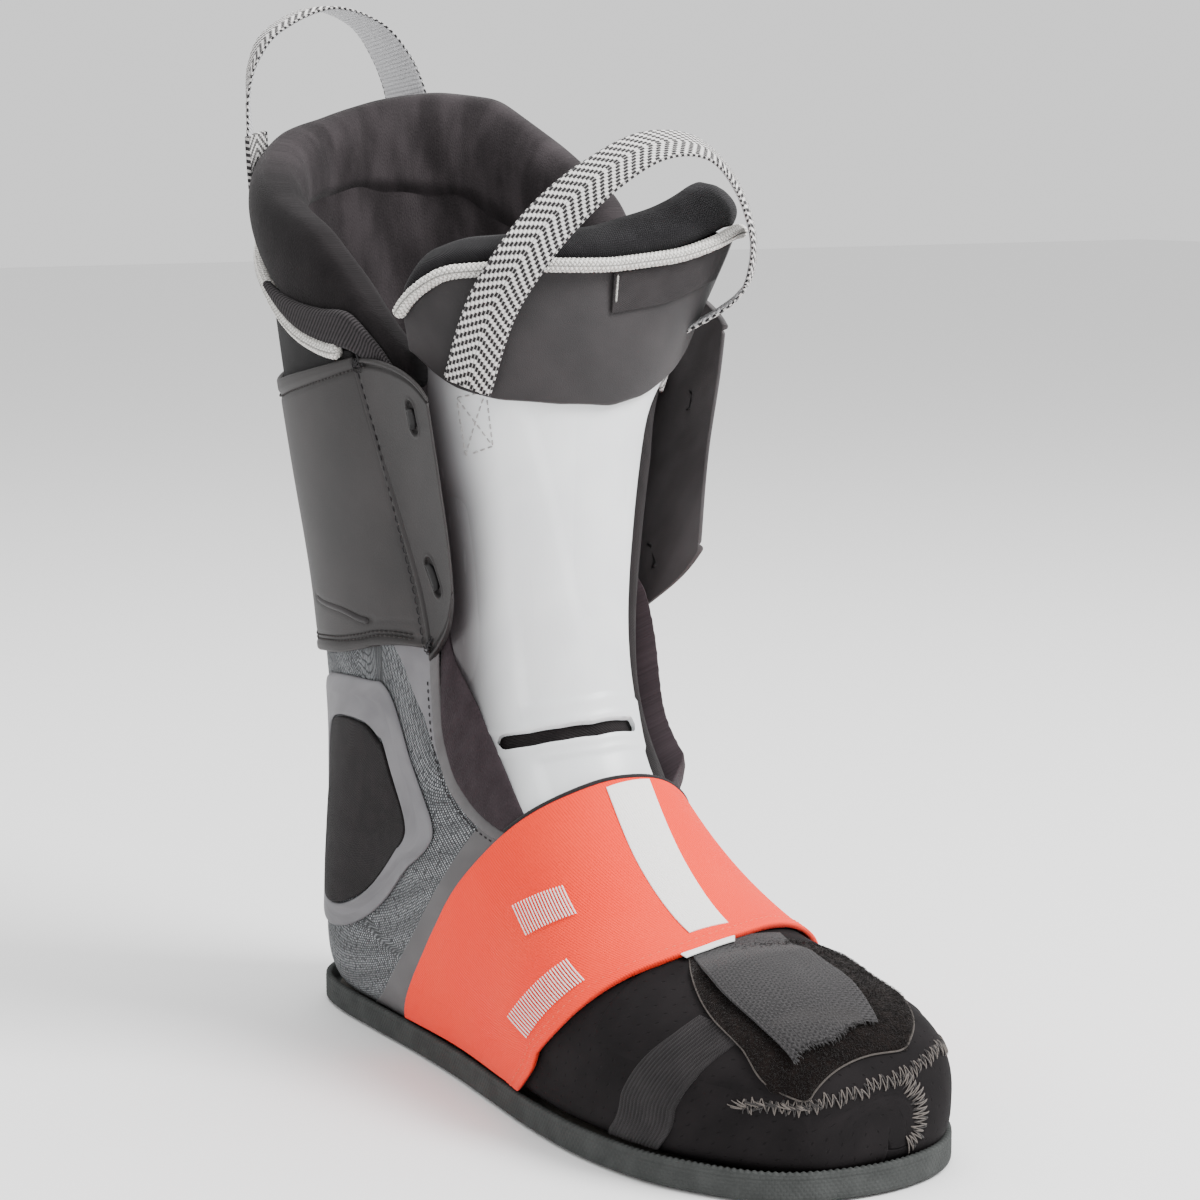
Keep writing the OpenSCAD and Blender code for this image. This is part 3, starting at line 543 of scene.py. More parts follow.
# ---- materials --------------------------------------------------------------------------------------

def shade(code):
    """Linear colour of a hex code."""
    parts = [int(code[k:k + 2], 16) / 255 for k in (1, 3, 5)]
    return tuple(p / 12.92 if p <= 0.04045 else ((p + 0.055) / 1.055) ** 2.4 for p in parts) + (1.0,)


LOOKS = {}  # every finished material, by its name


class Wire:
    """A value in a material; arithmetic on it adds nodes."""

    def __init__(self, paint, socket):
        self.paint, self.socket = paint, socket

    def __add__(self, other):
        return self.paint.math("ADD", self, other)

    def __sub__(self, other):
        return self.paint.math("SUBTRACT", self, other)

    def __rsub__(self, other):
        return self.paint.math("SUBTRACT", other, self)

    def __mul__(self, other):
        return self.paint.math("MULTIPLY", self, other)

    def __truediv__(self, other):
        return self.paint.math("DIVIDE", self, other)

    __radd__, __rmul__ = __add__, __mul__

    def wave(self, period):
        """Sine of this value, -1 to 1, with the given period."""
        return self.paint.math("SINE", self * (2 * math.pi / period))

    def size(self):
        return self.paint.math("ABSOLUTE", self)

    def part(self, period):
        """Share, 0 to 1, of the way through the current period."""
        return self.paint.math("FRACT", self / period)

    def count(self, period):
        return self.paint.math("FLOOR", self / period)

    def step(self, low, high):
        """Smooth step from 0 at low to 1 at high."""
        node = self.paint.tree.nodes.new("ShaderNodeMapRange")
        node.interpolation_type = "SMOOTHSTEP"
        self.paint.feed(node.inputs["Value"], self)
        for socket, value in zip(("From Min", "From Max"), (low, high)):
            self.paint.feed(node.inputs[socket], value)
        return Wire(self.paint, node.outputs["Result"])


class Paint:
    """One procedural material. Patterns are drawn in millimetres of the piece's cloth map."""

    def __init__(self, name, **sockets):
        look = bpy.data.materials.new(name)
        look.use_nodes = True
        self.tree = look.node_tree
        LOOKS[name] = look
        self.shader = self.tree.nodes["Principled BSDF"]
        for socket, value in sockets.items():
            self.shader.inputs[socket.replace("_", " ")].default_value = value
        self.x, self.y = self.map("cloth")

    def feed(self, socket, value):
        if isinstance(value, Wire):
            self.tree.links.new(value.socket, socket)
        else:
            socket.default_value = shade(value) if isinstance(value, str) else value

    def math(self, kind, a, b=0.0):
        node = self.tree.nodes.new("ShaderNodeMath")
        node.operation = kind
        self.feed(node.inputs[0], a)
        self.feed(node.inputs[1], b)
        return Wire(self, node.outputs[0])

    def lower(self, a, b):
        return self.math("MINIMUM", a, b)

    def higher(self, a, b):
        return self.math("MAXIMUM", a, b)

    def map(self, layer):
        node = self.tree.nodes.new("ShaderNodeUVMap")
        node.uv_map = layer
        split = self.tree.nodes.new("ShaderNodeSeparateXYZ")
        self.tree.links.new(node.outputs["UV"], split.inputs[0])
        return Wire(self, split.outputs["X"]), Wire(self, split.outputs["Y"])

    def noise(self, grain, stretch, detail):
        """Soft noise, 0 to 1, with blotches about grain millimetres across and stretch times as long."""
        join = self.tree.nodes.new("ShaderNodeCombineXYZ")
        self.feed(join.inputs[0], self.x / grain)
        self.feed(join.inputs[1], self.y / (grain * stretch))
        node = self.tree.nodes.new("ShaderNodeTexNoise")
        node.inputs["Scale"].default_value = 1.0
        node.inputs["Detail"].default_value = detail
        self.tree.links.new(join.outputs[0], node.inputs["Vector"])
        return Wire(self, node.outputs["Fac"])

    def blend(self, share, a, b):
        """Colour a where share is 0 and b where it is 1."""
        node = self.tree.nodes.new("ShaderNodeMix")
        node.data_type = "RGBA"
        self.feed(node.inputs["Factor"], share)
        self.feed(node.inputs[6], a)
        self.feed(node.inputs[7], b)
        return Wire(self, node.outputs[2])

    def weave(self, pitch_x, pitch_y):
        """Height of a plain weave, 0 to 1."""
        a, b = self.x.wave(2 * pitch_x), self.y.wave(2 * pitch_y)
        over = (a * b).step(-0.25, 0.25)
        return self.higher(a.size() * (0.45 + over * 0.55), b.size() * (1 - over * 0.55))

    def finish(self, colour, rough, height, depth):
        """Sets colour, roughness and relief; depth is the relief's height in millimetres."""
        self.feed(self.shader.inputs["Base Color"], colour)
        self.feed(self.shader.inputs["Roughness"], rough)
        bump = self.tree.nodes.new("ShaderNodeBump")
        bump.inputs["Strength"].default_value = 1.0
        bump.inputs["Distance"].default_value = depth * MM
        self.feed(bump.inputs["Height"], height)
        self.tree.links.new(bump.outputs["Normal"], self.shader.inputs["Normal"])


def plush_look(name, dark, light, brushed_and_lit, nap):
    """Short pile, paler in streaks on the inner side of the leg: nap brushing, and painted light that
    brightens that side where it lies in shade inside the leg.
    """
    p = Paint(name, Sheen_Weight=0.07, Sheen_Roughness=0.4, Specular_IOR_Level=0.1)
    blotch = p.noise(9, 1.2, 4)
    hair = p.noise(0.5, 1.7, 3)
    turn = p.map("place")[1]
    # Painted light on the inner side and back, with streaks of nap: there the colour is lifted towards the
    # third colour.
    inside = turn.step(60, 95) * (1 - turn.step(215, 245))
    streak = p.noise(13, 2.5, 3).step(0.35, 0.7)
    ground = p.blend(blotch.step(0.25, 0.8) * 0.4 + hair * 0.6, dark, light)
    p.finish(p.blend(inside * (hair * 0.5 + streak * 0.45), ground, brushed_and_lit), 0.95,
             hair * nap + blotch * 0.5, 0.4)


def fibre_look(name, stretch, detail, dark, light, depth):
    """Plain cellular or fibrous stuff: foam and board."""
    p = Paint(name, Specular_IOR_Level=0.2)
    fibre = p.noise(0.8, stretch, detail)
    p.finish(p.blend(fibre, dark, light), 0.9, fibre, depth)


def knit_look():
    """Knit with short light dashes in slanting rows."""
    p = Paint("quarter_knit", Sheen_Weight=0.06, Sheen_Roughness=0.5, Specular_IOR_Level=0.2)
    wobble = p.noise(7, 1, 2) * 0.9
    slant = p.x * 0.9 - p.y * 0.5 + wobble
    pitch = 1.15
    column = slant.count(pitch)
    dash = (p.y + p.x * 0.35 + column * 0.57).part(1.25)
    on_dash = p.lower(dash.step(0.06, 0.2),
                      (1 - dash).step(0.3, 0.48)) * slant.part(pitch).wave(2).step(0.15, 0.7)
    wale = slant.wave(pitch * 2).size() * p.y.wave(1.0).size()
    soft = p.noise(14, 1, 3)
    broken = p.noise(1.6, 1, 2).step(0.3, 0.55)
    stripe = slant.wave(13).step(-0.9, 0.9) * 0.35 + 0.65
    ground = p.blend(soft.step(0.3, 0.7) * 0.4 + wale * 0.6, "#2d2f31", "#434547")
    p.finish(p.blend(on_dash * broken * stripe, ground, "#a6a9ac"), 0.8, wale * 0.5 + on_dash * 0.9, 0.22)


def mesh_look():
    """Dark woven mesh of the ankle window."""
    p = Paint("ankle_mesh", Sheen_Weight=0.05, Specular_IOR_Level=0.2)
    grain = p.weave(0.7, 0.55)
    blotch = p.noise(7, 1, 4)
    p.finish(p.blend(blotch.step(0.35, 0.7) * 0.6 + grain * 0.4, "#0f0c0d", "#1e191b"), 0.9, grain + blotch,
             0.22)


def neoprene_look():
    """Smooth neoprene with sparse dimples."""
    p = Paint("neoprene_skin", Specular_IOR_Level=0.12)
    fine = p.noise(0.35, 1, 2)
    blotch = p.noise(18, 1, 3)
    dimple = (p.x.wave(7.6) * (p.y + p.x * 0.5).wave(5.2)).step(0.86, 0.98)
    ground = p.blend(blotch.step(0.3, 0.7) * 0.7 + fine * 0.3, "#100e0f", "#1b1819")
    p.finish(p.blend(dimple * 0.5, ground, "#070606"), 0.85, fine * 0.3 - dimple * 0.8, 0.2)


def film_look(name, dark, light, rough=0.5):
    """Thin satin film."""
    p = Paint(name, Specular_IOR_Level=0.35)
    fine = p.noise(0.5, 1, 3)
    blotch = p.noise(22, 1, 3)
    p.finish(p.blend(blotch.step(0.3, 0.7), dark, light), rough + 0.12 * fine, fine, 0.05)


def panel_look():
    """Warm grey satin synthetic leather with a fine grain."""
    p = Paint("panel_satin", Specular_IOR_Level=0.3)
    grain = p.noise(0.55, 1, 4)
    cloud = p.noise(30, 1, 3)
    wear = p.noise(4, 1, 4).step(0.62, 0.8)
    ground = p.blend(cloud.step(0.3, 0.75), "#252323", "#2e2b2b")
    p.finish(p.blend(wear * 0.08, ground, "#454141"), 0.46 + grain * 0.16, grain, 0.09)


def elastic_look():
    """Ribbed elastic in coral."""
    p = Paint("wrap_elastic", Sheen_Weight=0.04, Sheen_Roughness=0.4, Specular_IOR_Level=0.25)
    rib = (p.x + p.y * 0.25).wave(1.7).size()
    pick = (p.y * 0.9 - p.x * 0.3).wave(1.1).size()
    cloud = p.noise(25, 1, 3)
    ground = p.blend(cloud.step(0.25, 0.75), "#fa2a08", "#fb3614")
    # Painted shade: the bottoms of the ribs are darkened towards a deeper red.
    dark = p.blend((1 - rib).step(0.55, 1.0) * 0.3, ground, "#c2250c")
    p.finish(dark, 0.72, rib * 0.7 + pick * 0.3, 0.14)


def print_look():
    """White print, a little worn, on the wrap's ribs."""
    p = Paint("white_print", Specular_IOR_Level=0.3)
    rib = (p.x + p.y * 0.2).wave(1.7).size()
    worn = p.noise(1.2, 2, 4)
    p.finish(p.blend(worn.step(0.55, 0.8) * 0.35, "#f2efec", "#d8cfca"), 0.6, rib, 0.06)


def pile_look():
    """Brushed loop pile."""
    p = Paint("loop_pile", Sheen_Weight=0.1, Sheen_Roughness=0.35, Specular_IOR_Level=0.1)
    curl = p.noise(0.8, 1, 3)
    blotch = p.noise(5, 1, 4)
    ground = p.blend(blotch.step(0.3, 0.7) * 0.6 + curl * 0.4, "#0c0909", "#1b1513")
    p.finish(ground, 0.95, curl + blotch * 0.6, 0.7)


def tab_look():
    """Coarse plain weave of the toe tab."""
    p = Paint("tab_weave", Sheen_Weight=0.15, Specular_IOR_Level=0.25)
    yarn = p.noise(0.3, 3, 2)
    over = (p.x.wave(2.2) * p.y.wave(2.0)).step(-0.3, 0.3)
    ground = p.blend(over * 0.7 + yarn * 0.3, "#161516", "#302e2f")
    p.finish(ground, 0.8, yarn, 0.15)


def plastic_look(name, dark, light, rough, painted_edge_shade):
    """Satin plastic; the last argument turns on painted shade that darkens the colour towards the thin outer
    edge, where the plate turns away from the light.
    """
    p = Paint(name, Specular_IOR_Level=0.45, Coat_Weight=0.08)
    cloud = p.noise(26, 1, 2)
    scuff = p.noise(2.5, 6, 4).step(0.6, 0.82)
    fine = p.noise(0.9, 1, 3)
    ground = p.blend(cloud.step(0.25, 0.75), dark, light)
    # Painted shade: darker towards the outer edge, where the plate turns away from the light and lies under
    # the flap.
    if painted_edge_shade:
        up, turn = p.map("place")
        edge = turn + up.step(9.4, 8.6) * 2
        ground = p.blend(edge.step(-57, -35), "#3c383a", ground)
    p.finish(p.blend(scuff * 0.14, ground, "#a9adae"), rough + 0.14 * fine, fine, 0.04)


def shield_look():
    """Dark matte film with a fine grain."""
    p = Paint("shield_matte", Specular_IOR_Level=0.25, Sheen_Weight=0.08)
    grain = p.noise(0.4, 1, 3)
    cloud = p.noise(24, 1, 3)
    p.finish(p.blend(cloud.step(0.3, 0.75), "#272526", "#322f30"), 0.6 + grain * 0.1, grain, 0.08)


def pad_look():
    """Fine mesh, ribbed towards the outer end."""
    p = Paint("pad_mesh", Sheen_Weight=0.06, Sheen_Roughness=0.4, Specular_IOR_Level=0.2)
    turn = p.map("place")[1]
    twill = (p.x + p.y * 0.8).wave(1.5).size()
    hole = p.weave(0.75, 0.75)
    side = turn.step(-12, -4)
    height = twill * (1 - side) + hole * side
    blotch = p.noise(11, 1, 4)
    p.finish(p.blend(blotch.step(0.35, 0.75) * 0.5 + height * 0.3, "#121113", "#262527"), 0.88, height, 0.25)


def yarn_look(name, dark, light):
    """Thread or braided cord, with painted shade between its plies."""
    p = Paint(name, Sheen_Weight=0.05, Specular_IOR_Level=0.3)
    ply = (p.x * 0.8 + p.y).wave(0.9).size()
    soil = p.noise(3, 1, 3)
    # Painted shade between the plies, over blotches of soiling.
    p.finish(p.blend(soil.step(0.3, 0.8) * 0.5 + (1 - ply) * 0.4, light, dark), 0.75, ply, 0.08)


def rubber_look():
    """Dusty dark rubber."""
    p = Paint("sole_rubber", Specular_IOR_Level=0.3)
    fine = p.noise(0.5, 1, 4)
    dust = p.noise(9, 1, 4)
    ground = p.blend(dust.step(0.3, 0.75) * 0.7 + fine * 0.3, "#2e302f", "#3e403f")
    p.finish(ground, 0.82, fine, 0.12)


def twill_look(name, dark, light, pitch):
    """Fine slanting ribs."""
    p = Paint(name, Sheen_Weight=0.06, Sheen_Roughness=0.4, Specular_IOR_Level=0.2)
    rib = (p.x + p.y).wave(2 * pitch).size()
    blotch = p.noise(10, 1, 4)
    p.finish(p.blend(blotch.step(0.3, 0.7) * 0.5 + rib * 0.5, dark, light), 0.85, rib, 0.18)


def fold_look():
    """Ribbed knit binding with painted highlights on its ridges, which lie on the ribs of collar_fold."""
    p = Paint("fold_knit", Sheen_Weight=0.05, Specular_IOR_Level=0.2)
    ridge = (p.x + p.y * 0.8).wave(3.0).size()
    fuzz = p.noise(0.5, 1, 2)
    # Painted highlight: the ridges are paler than the troughs.
    p.finish(p.blend(ridge.step(0.4, 1.0) * 0.8 + fuzz * 0.2, "#121011", "#3c383a"), 0.9, ridge, 0.25)


def braid_look():
    """Braided cord with painted shade in the crevices between its strands; the strands match braid_relief."""
    p = Paint("white_braid", Sheen_Weight=0.1, Specular_IOR_Level=0.3)
    turns = p.x * (6 / (2 * math.pi * PIPING_R / MM))
    a, b = (turns + p.y * (6 / 9)).wave(2), (turns - p.y * (6 / 9)).wave(2)
    over = (a * b).step(-0.1, 0.1)
    strand = a.size() * over + b.size() * (1 - over)
    soil = p.noise(4, 1, 3)
    pale = p.blend(soil.step(0.35, 0.75) * 0.5, "#e4e2dd", "#cfccc5")
    # Painted shade: the crevices between the strands are darkened towards grey.
    p.finish(p.blend((1 - strand).step(0.25, 0.95) * 0.75, pale, "#77736d"), 0.8, strand, 0.35)


def webbing_look():
    """Outer face of the tape: lengthwise columns of white and black dashes, shifted to make a herringbone."""
    p = Paint("webbing", Sheen_Weight=0.08, Specular_IOR_Level=0.25)
    across = p.x + 60
    fold = (across.count(YARN_W) - 55.5).size()
    dash = (p.y + fold * 0.8).part(3.1)
    thread = across.part(YARN_W).wave(2).size()
    black = p.lower(dash.step(0.37, 0.47), (1 - dash).step(0.0, 0.08)) * thread.step(0.12, 0.45)
    edge = (p.x.size() / 8).step(0.92, 0.95)
    tie = p.y.part(2.2).step(0.5, 0.6)
    light = p.higher((1 - black) * (1 - edge), tie * edge * 0.7)
    fuzz = p.noise(0.35, 2, 2)
    # Painted shade: the white yarns turn grey towards the gaps between them.
    pale = p.blend(fuzz * 0.4 + (1 - thread).step(0.45, 1.0) * 0.6, "#e4e2e0", "#8f8c8a")
    p.finish(p.blend(light, "#1d1b1d", pale), 0.78, thread * 0.7 + (1 - black) * 0.3 + fuzz * 0.15, 0.25)


def tape_back_look():
    """Plain pale inner face of the tape, with fine cross ridges and a black edge thread."""
    p = Paint("tape_back", Sheen_Weight=0.08, Specular_IOR_Level=0.25)
    ridge = p.y.wave(3.0).size()
    edge = (p.x.size() / 8).step(0.93, 0.96) * p.y.part(2.4).step(0.35, 0.5)
    fuzz = p.noise(0.5, 1, 3)
    pale = p.blend(ridge * 0.6 + fuzz * 0.4, "#a5a5a7", "#cdcdcf")
    p.finish(p.blend(edge, pale, "#1b1a1b"), 0.75, ridge + fuzz * 0.3, 0.15)


def all_looks():
    """Makes every material once."""
    for paint in (knit_look, mesh_look, neoprene_look, panel_look, elastic_look, print_look, pile_look,
                  tab_look, shield_look, pad_look, rubber_look, fold_look, braid_look, webbing_look,
                  tape_back_look):
        paint()
    fibre_look("foam", 1, 2, "#232225", "#333236", 0.3)
    fibre_look("board", 4, 4, "#4b4844", "#625e58", 0.15)
    # The third colour of each plush is painted light on the inner side of the leg, with streaks of nap.
    plush_look("plush", "#100e0f", "#252223", "#423d3f", 0.7)
    plush_look("lip_plush", "#221d1f", "#42393d", "#42393d", 1.0)
    # The tongue plate has painted shade towards its outer edge.
    plastic_look("tongue_plastic", "#dadddf", "#e4e7e8", 0.3, True)
    plastic_look("stay_plastic", "#dfe0df", "#efefee", 0.38, False)
    film_look("seam_film", "#484647", "#545253", 0.45)
    for name, dark, light in (("welded_film", "#5d5c5f", "#6e6d70"), ("throat_binding", "#4a4849", "#5c5a5b"),
                              ("dark_film", "#0b0a0b", "#161415"), ("inner_panel", "#3a3738", "#484546"),
                              ("hook_strip", "#141010", "#1f1a19"), ("panel_mark", "#201d1e", "#2a2627")):
        film_look(name, dark, light)
    for name, dark, light, pitch in (("collar_mesh", "#100f10", "#222122", 0.8),
                                     ("rib_knit", "#151314", "#2b2829", 0.55),
                                     ("stretch_fabric", "#131112", "#231f20", 1.1),
                                     ("label_weave", "#232122", "#343132", 0.5)):
        twill_look(name, dark, light, pitch)
    for name, dark, light in (("black_thread", "#0d0c0d", "#232123"), ("grey_thread", "#35312e", "#6b645f"),
                              ("dark_thread", "#141212", "#343130"), ("wrap_thread", "#b93a22", "#ff6a4c"),
                              ("box_thread", "#7d7b7a", "#a9a7a5"), ("edge_thread", "#2b2725", "#5c5550")):
        yarn_look(name, dark, light)


# ---- helpers for reliefs and seams -------------------------------------------------------------------

def distance_to(points, line):
    """Distance from each point to a line of points."""
    flat = points.reshape(-1, 3)
    best = np.full(len(flat), 1e9)
    for a, b in zip(line[:-1], line[1:]):
        d = b - a
        t = np.clip(((flat - a) @ d) / max(d @ d, 1e-12), 0, 1)
        best = np.minimum(best, np.linalg.norm(flat - a - t[:, None] * d, axis=1))
    return best.reshape(points.shape[:-1])


def groove(points, places, off, width, depth):
    """A stitched-down channel along a line on the surface."""
    line, _ = resample(trace(places, off, 120)[0], 2 * MM)
    return -depth * np.exp(-(distance_to(points, line) / width) ** 2)


def knot(name, u, v, off, body, seed):
    """Tangle of short thread ends where two seams meet."""
    rng, count = np.random.default_rng(seed), 16
    at_u, at_v = u + rng.normal(0, 0.045, (2, count)), v + rng.normal(0, 1.1, (2, count))
    a, b = surface(at_u[0], at_v[0], off), surface(at_u[1], at_v[1], off)
    ends = threads(name, a, b, outward(at_u[0], at_v[0]), (0.28, 0.7, 0.3), "black_thread")
    finish_piece(ends, body, "white_braid")


def sewn(name, places, off, body, slot, look, pitch=3.2, length=2.5, radius=0.3, side=0.0):
    """A running stitch along a line on the surface; its sizes are in millimetres."""
    first, rise, sink = 0.6 * MM, 0.34, 0.5
    a, b, n = running(trace(places, off), pitch * MM, length * MM, first, side * MM)
    finish_piece(threads(name, a, b, n, (radius, rise, sink), look), body, slot)


def cord_on(name, places, off, radius, body, slot, look, strands, lay, depth=0.12, sides=16):
    """A thin laid cord along a line on the surface."""
    line, _ = trace(places, off)
    cord = tube(name, line, radius, look, sides, 0.5 * MM, braid_relief(strands, lay, depth * radius))
    finish_piece(cord, body, slot)


def round_back(v_low, u_low, u_high):
    """Patch round the back of the leg from the throat on one side to the throat on the other."""
    def at(s, t):
        v = mix(v_low, 360 - v_low, s)
        h = half(v)
        return mix(u_low(h), u_high(h), t), v
    return at


SIM_FRAMES = 20  # long enough for the cloth to settle


def positions(mesh):
    """Vertex positions of a mesh."""
    found = np.zeros(len(mesh.vertices) * 3)
    mesh.vertices.foreach_get("co", found)
    return found.reshape(-1, 3)


def soften(made, limit, keep):
    """Puffs a padded piece up like filled cloth: a coarse copy of it is simulated and the piece follows.
    No point moves more than limit, and keep(points) is how firmly each is held, 0 to 1."""
    coarse = made.copy()
    coarse.data = made.data.copy()
    bpy.context.scene.collection.objects.link(coarse)
    remesh = coarse.modifiers.new("remesh", "REMESH")
    remesh.mode = "VOXEL"
    remesh.voxel_size = 5 * MM
    bpy.context.view_layer.update()
    graph = bpy.context.evaluated_depsgraph_get()
    skin = bpy.data.meshes.new_from_object(coarse.evaluated_get(graph))
    coarse.modifiers.clear()
    coarse.data = skin
    before = positions(skin)
    cloth = coarse.modifiers.new("cloth", "CLOTH")
    cloth.settings.quality = 6
    cloth.settings.mass = 0.25
    cloth.settings.tension_stiffness = 18
    cloth.settings.compression_stiffness = 12
    cloth.settings.bending_stiffness = 0.6
    cloth.settings.use_pressure = True
    cloth.settings.uniform_pressure_force = 5.0
    cloth.settings.effector_weights.gravity = 0
    cloth.collision_settings.use_collision = False
    group = coarse.vertex_groups.new(name="pin")
    for k, weight in enumerate(keep(before)):
        group.add([k], float(weight), "REPLACE")
    cloth.settings.vertex_group_mass = "pin"
    cloth.point_cache.frame_start, cloth.point_cache.frame_end = 1, SIM_FRAMES
    for step in range(1, SIM_FRAMES + 1):
        bpy.context.scene.frame_set(step)
    graph = bpy.context.evaluated_depsgraph_get()
    puffed = coarse.evaluated_get(graph).to_mesh()
    move = positions(puffed) - before
    move *= np.minimum(1, limit / np.maximum(np.linalg.norm(move, axis=1, keepdims=True), 1e-9))
    bpy.context.scene.frame_set(1)
    points = positions(made.data)
    points += spread(before, move, points)
    made.data.vertices.foreach_set("co", points.ravel())
    bpy.data.objects.remove(coarse)


def spread(places, moves, points):
    """Moves carried over from scattered places to points, from the six nearest, weighted by nearness."""
    tree = KDTree(len(places))
    for k, place_of in enumerate(places):
        tree.insert(place_of, k)
    tree.balance()
    out = np.zeros_like(points)
    for k, point in enumerate(points):
        found = tree.find_n(point, 6)
        weights = np.array([1 / (f[2] + 0.5 * MM) ** 2 for f in found])
        out[k] = (moves[[f[1] for f in found]] * weights[:, None]).sum(0) / weights.sum()
    return out


# ---- sole -------------------------------------------------------------------------------------------

def outline(count):
    """Points and outward directions round the sole."""
    p = round_loop(SOLE, np.arange(count) / count)
    flat = np.stack([p[:, 0] * MM * WIDE, MID_FORWARD - p[:, 1] * MM * LONG], -1)
    way = np.roll(flat, -1, 0) - np.roll(flat, 1, 0)
    out = np.stack([way[:, 1], -way[:, 0]], -1) / np.linalg.norm(way, axis=1, keepdims=True)
    middle = flat.mean(0)
    out *= np.sign(((flat - middle) * out).sum(1).mean())
    return flat, out


def outsole():
    """Moulded sole: flat underside, low embossed rim with a scalloped top edge, and a thin floor."""
    count = 2200
    flat, out = outline(count)
    run = np.cumsum(np.linalg.norm(flat - np.roll(flat, 1, 0), axis=1))
    wall = np.arange(0.9, RIM_H / MM - 0.7, 0.3) * MM
    under = [(6, 0.0), (3, 0.0), (1.6, 0.06), (0.7, 0.3), (0.2, 0.6)]
    top = [(0.12, -0.55), (0.4, -0.2), (0.9, 0), (1.5, 0), (2.0, -0.2), (2.3, -0.7)]
    rows = [(d * MM, z * MM, 0) for d, z in under] + [(0.0, z, 1) for z in wall]
    rows += [(d * MM, RIM_H + z * MM, 2) for d, z in top]
    rows += [(2.4 * MM, RIM_H / 2, 0), (2.5 * MM, SOLE_T + 0.4 * MM, 0), (3 * MM, SOLE_T, 0),
             (7 * MM, SOLE_T, 0)]
    grid, cloth = [], []
    scallop = np.sin(run * 2 * math.pi / (2.1 * MM))
    brick_long, brick_tall, brick_deep = 1.7 * MM, 1.15 * MM, 0.32
    for depth_in, z, kind in rows:
        course = np.floor(z / brick_tall)
        brick = np.sin(math.pi * ((run / brick_long + 0.5 * (course % 2)) % 1)) ** 0.5
        layer = abs(math.sin(math.pi * z / brick_tall)) ** 0.5
        proud = (brick * layer - 1) * brick_deep * MM * (kind == 1)
        lift = 0.22 * MM * scallop * (kind == 2)
        grid.append(np.column_stack([flat + out * (proud - depth_in)[:, None], np.full(count, z) + lift]))
        cloth.append(np.column_stack([run, np.full(count, z - depth_in)]) / MM)
    faces = grid_faces(len(rows) - 1, count, True).tolist() + cap_faces(count, len(rows))
    made = mesh_object("outsole_rubber", np.concatenate(grid), faces, {"cloth": np.concatenate(cloth)},
                       "sole_rubber")
    face_outward(made)
    return finish_piece(made, "liner", "sole_rubber", "outsole")


def sole_sheet(name, margin, low, high, look, crown, edge):
    """A plate inside the sole's outline, with a rounded, crowned top."""
    flat, out = outline(400)
    inner = flat - out * margin
    ys = inner[:, 1]
    front, back = ys.min(), ys.max()
    n, across = int((back - front) / (2.0 * MM)), 41
    y = (front + back) / 2 - (back - front) / 2 * np.cos(np.pi * (np.arange(n + 1) + 0.35) / (n + 0.7))
    left = np.array([crossing(inner, q, -1) for q in y])
    right = np.array([crossing(inner, q, 1) for q in y])
    s = 0.5 - 0.5 * np.cos(np.pi * np.linspace(0, 1, across))
    x = left[:, None] + (right - left)[:, None] * s[None]
    yy = np.repeat(y[:, None], across, 1)
    side = np.minimum(np.minimum(x - left[:, None], right[:, None] - x), np.minimum(yy - front, back - yy))
    k = 1 - np.clip(side / edge, 0, 1)
    rise = -(high - low) * 0.45 * (1 - np.sqrt(1 - k * k * 0.999))
    rise += crown * (np.clip(1 - side / (16 * MM), 0, 1) ** 2)
    top = np.stack([x, yy, high + rise], -1)
    bottom = np.stack([x, yy, np.full_like(x, low)], -1)
    cloth = np.stack([x, yy], -1).reshape(-1, 2) / MM
    made = mesh_object(name, np.concatenate([top.reshape(-1, 3), bottom.reshape(-1, 3)]),
                       shell_faces(n, across - 1), {"cloth": np.concatenate([cloth, cloth])}, look)
    face_outward(made)
    return made


def crossing(loop, y, side):
    """Where a closed loop crosses a line of constant y, on the left (-1) or right (1)."""
    a, b = loop, np.roll(loop, -1, 0)
    hit = (a[:, 1] - y) * (b[:, 1] - y) <= 0
    a, b = a[hit], b[hit]
    x = a[:, 0] + (b[:, 0] - a[:, 0]) * (y - a[:, 1]) / np.where(b[:, 1] == a[:, 1], 1, b[:, 1] - a[:, 1])
    return x.max() if side > 0 else x.min()


def insole():
    """Board on the sole's floor and the footbed above it."""
    board = sole_sheet("insole_board_sheet", 5 * MM, SOLE_T + 0.2 * MM, SOLE_T + 1.6 * MM, "board", 0,
                       0.6 * MM)
    finish_piece(board, "liner", "board", "insole_board")
    bed = sole_sheet("footbed_pad", 16.9 * MM, SOLE_T + 2 * MM, SOLE_T + 6 * MM, "plush", 1.5 * MM, 2.5 * MM)
    finish_piece(bed, "liner", "footbed_foam", "footbed")


# ---- toe --------------------------------------------------------------------------------------------

# Front edge of the toe's top panel: v, u
TOE_EDGE = [[-80, 2.8], [-72, 1.66], [-58, 1.25], [-29, 0.87], [0, 0.93], [19, 1.03], [35, 1.43], [64, 2.43],
            [74, 3.2]]
# Seam up the nose between the two side panels: u, v
NOSE_SEAM = [[0.01, 180], [0.3, 180], [0.37, 165], [0.43, 150], [0.5, 118], [0.64, 66], [0.76, 38],
             [0.92, 18], [1.25, 3], [3, 0], [8.25, 0]]
# Ribbed band across each side of the toe, in front of the wrap: v, u of its front and rear edges
RIB_FRONT = [[40, 3.1], [54, 3.2], [70, 3.42], [87, 3.68], [106, 3.95], [132, 4.25]]
RIB_REAR = [[40, 4.0], [54, 4.12], [70, 4.38], [87, 4.62], [106, 4.88], [132, 5.1]]


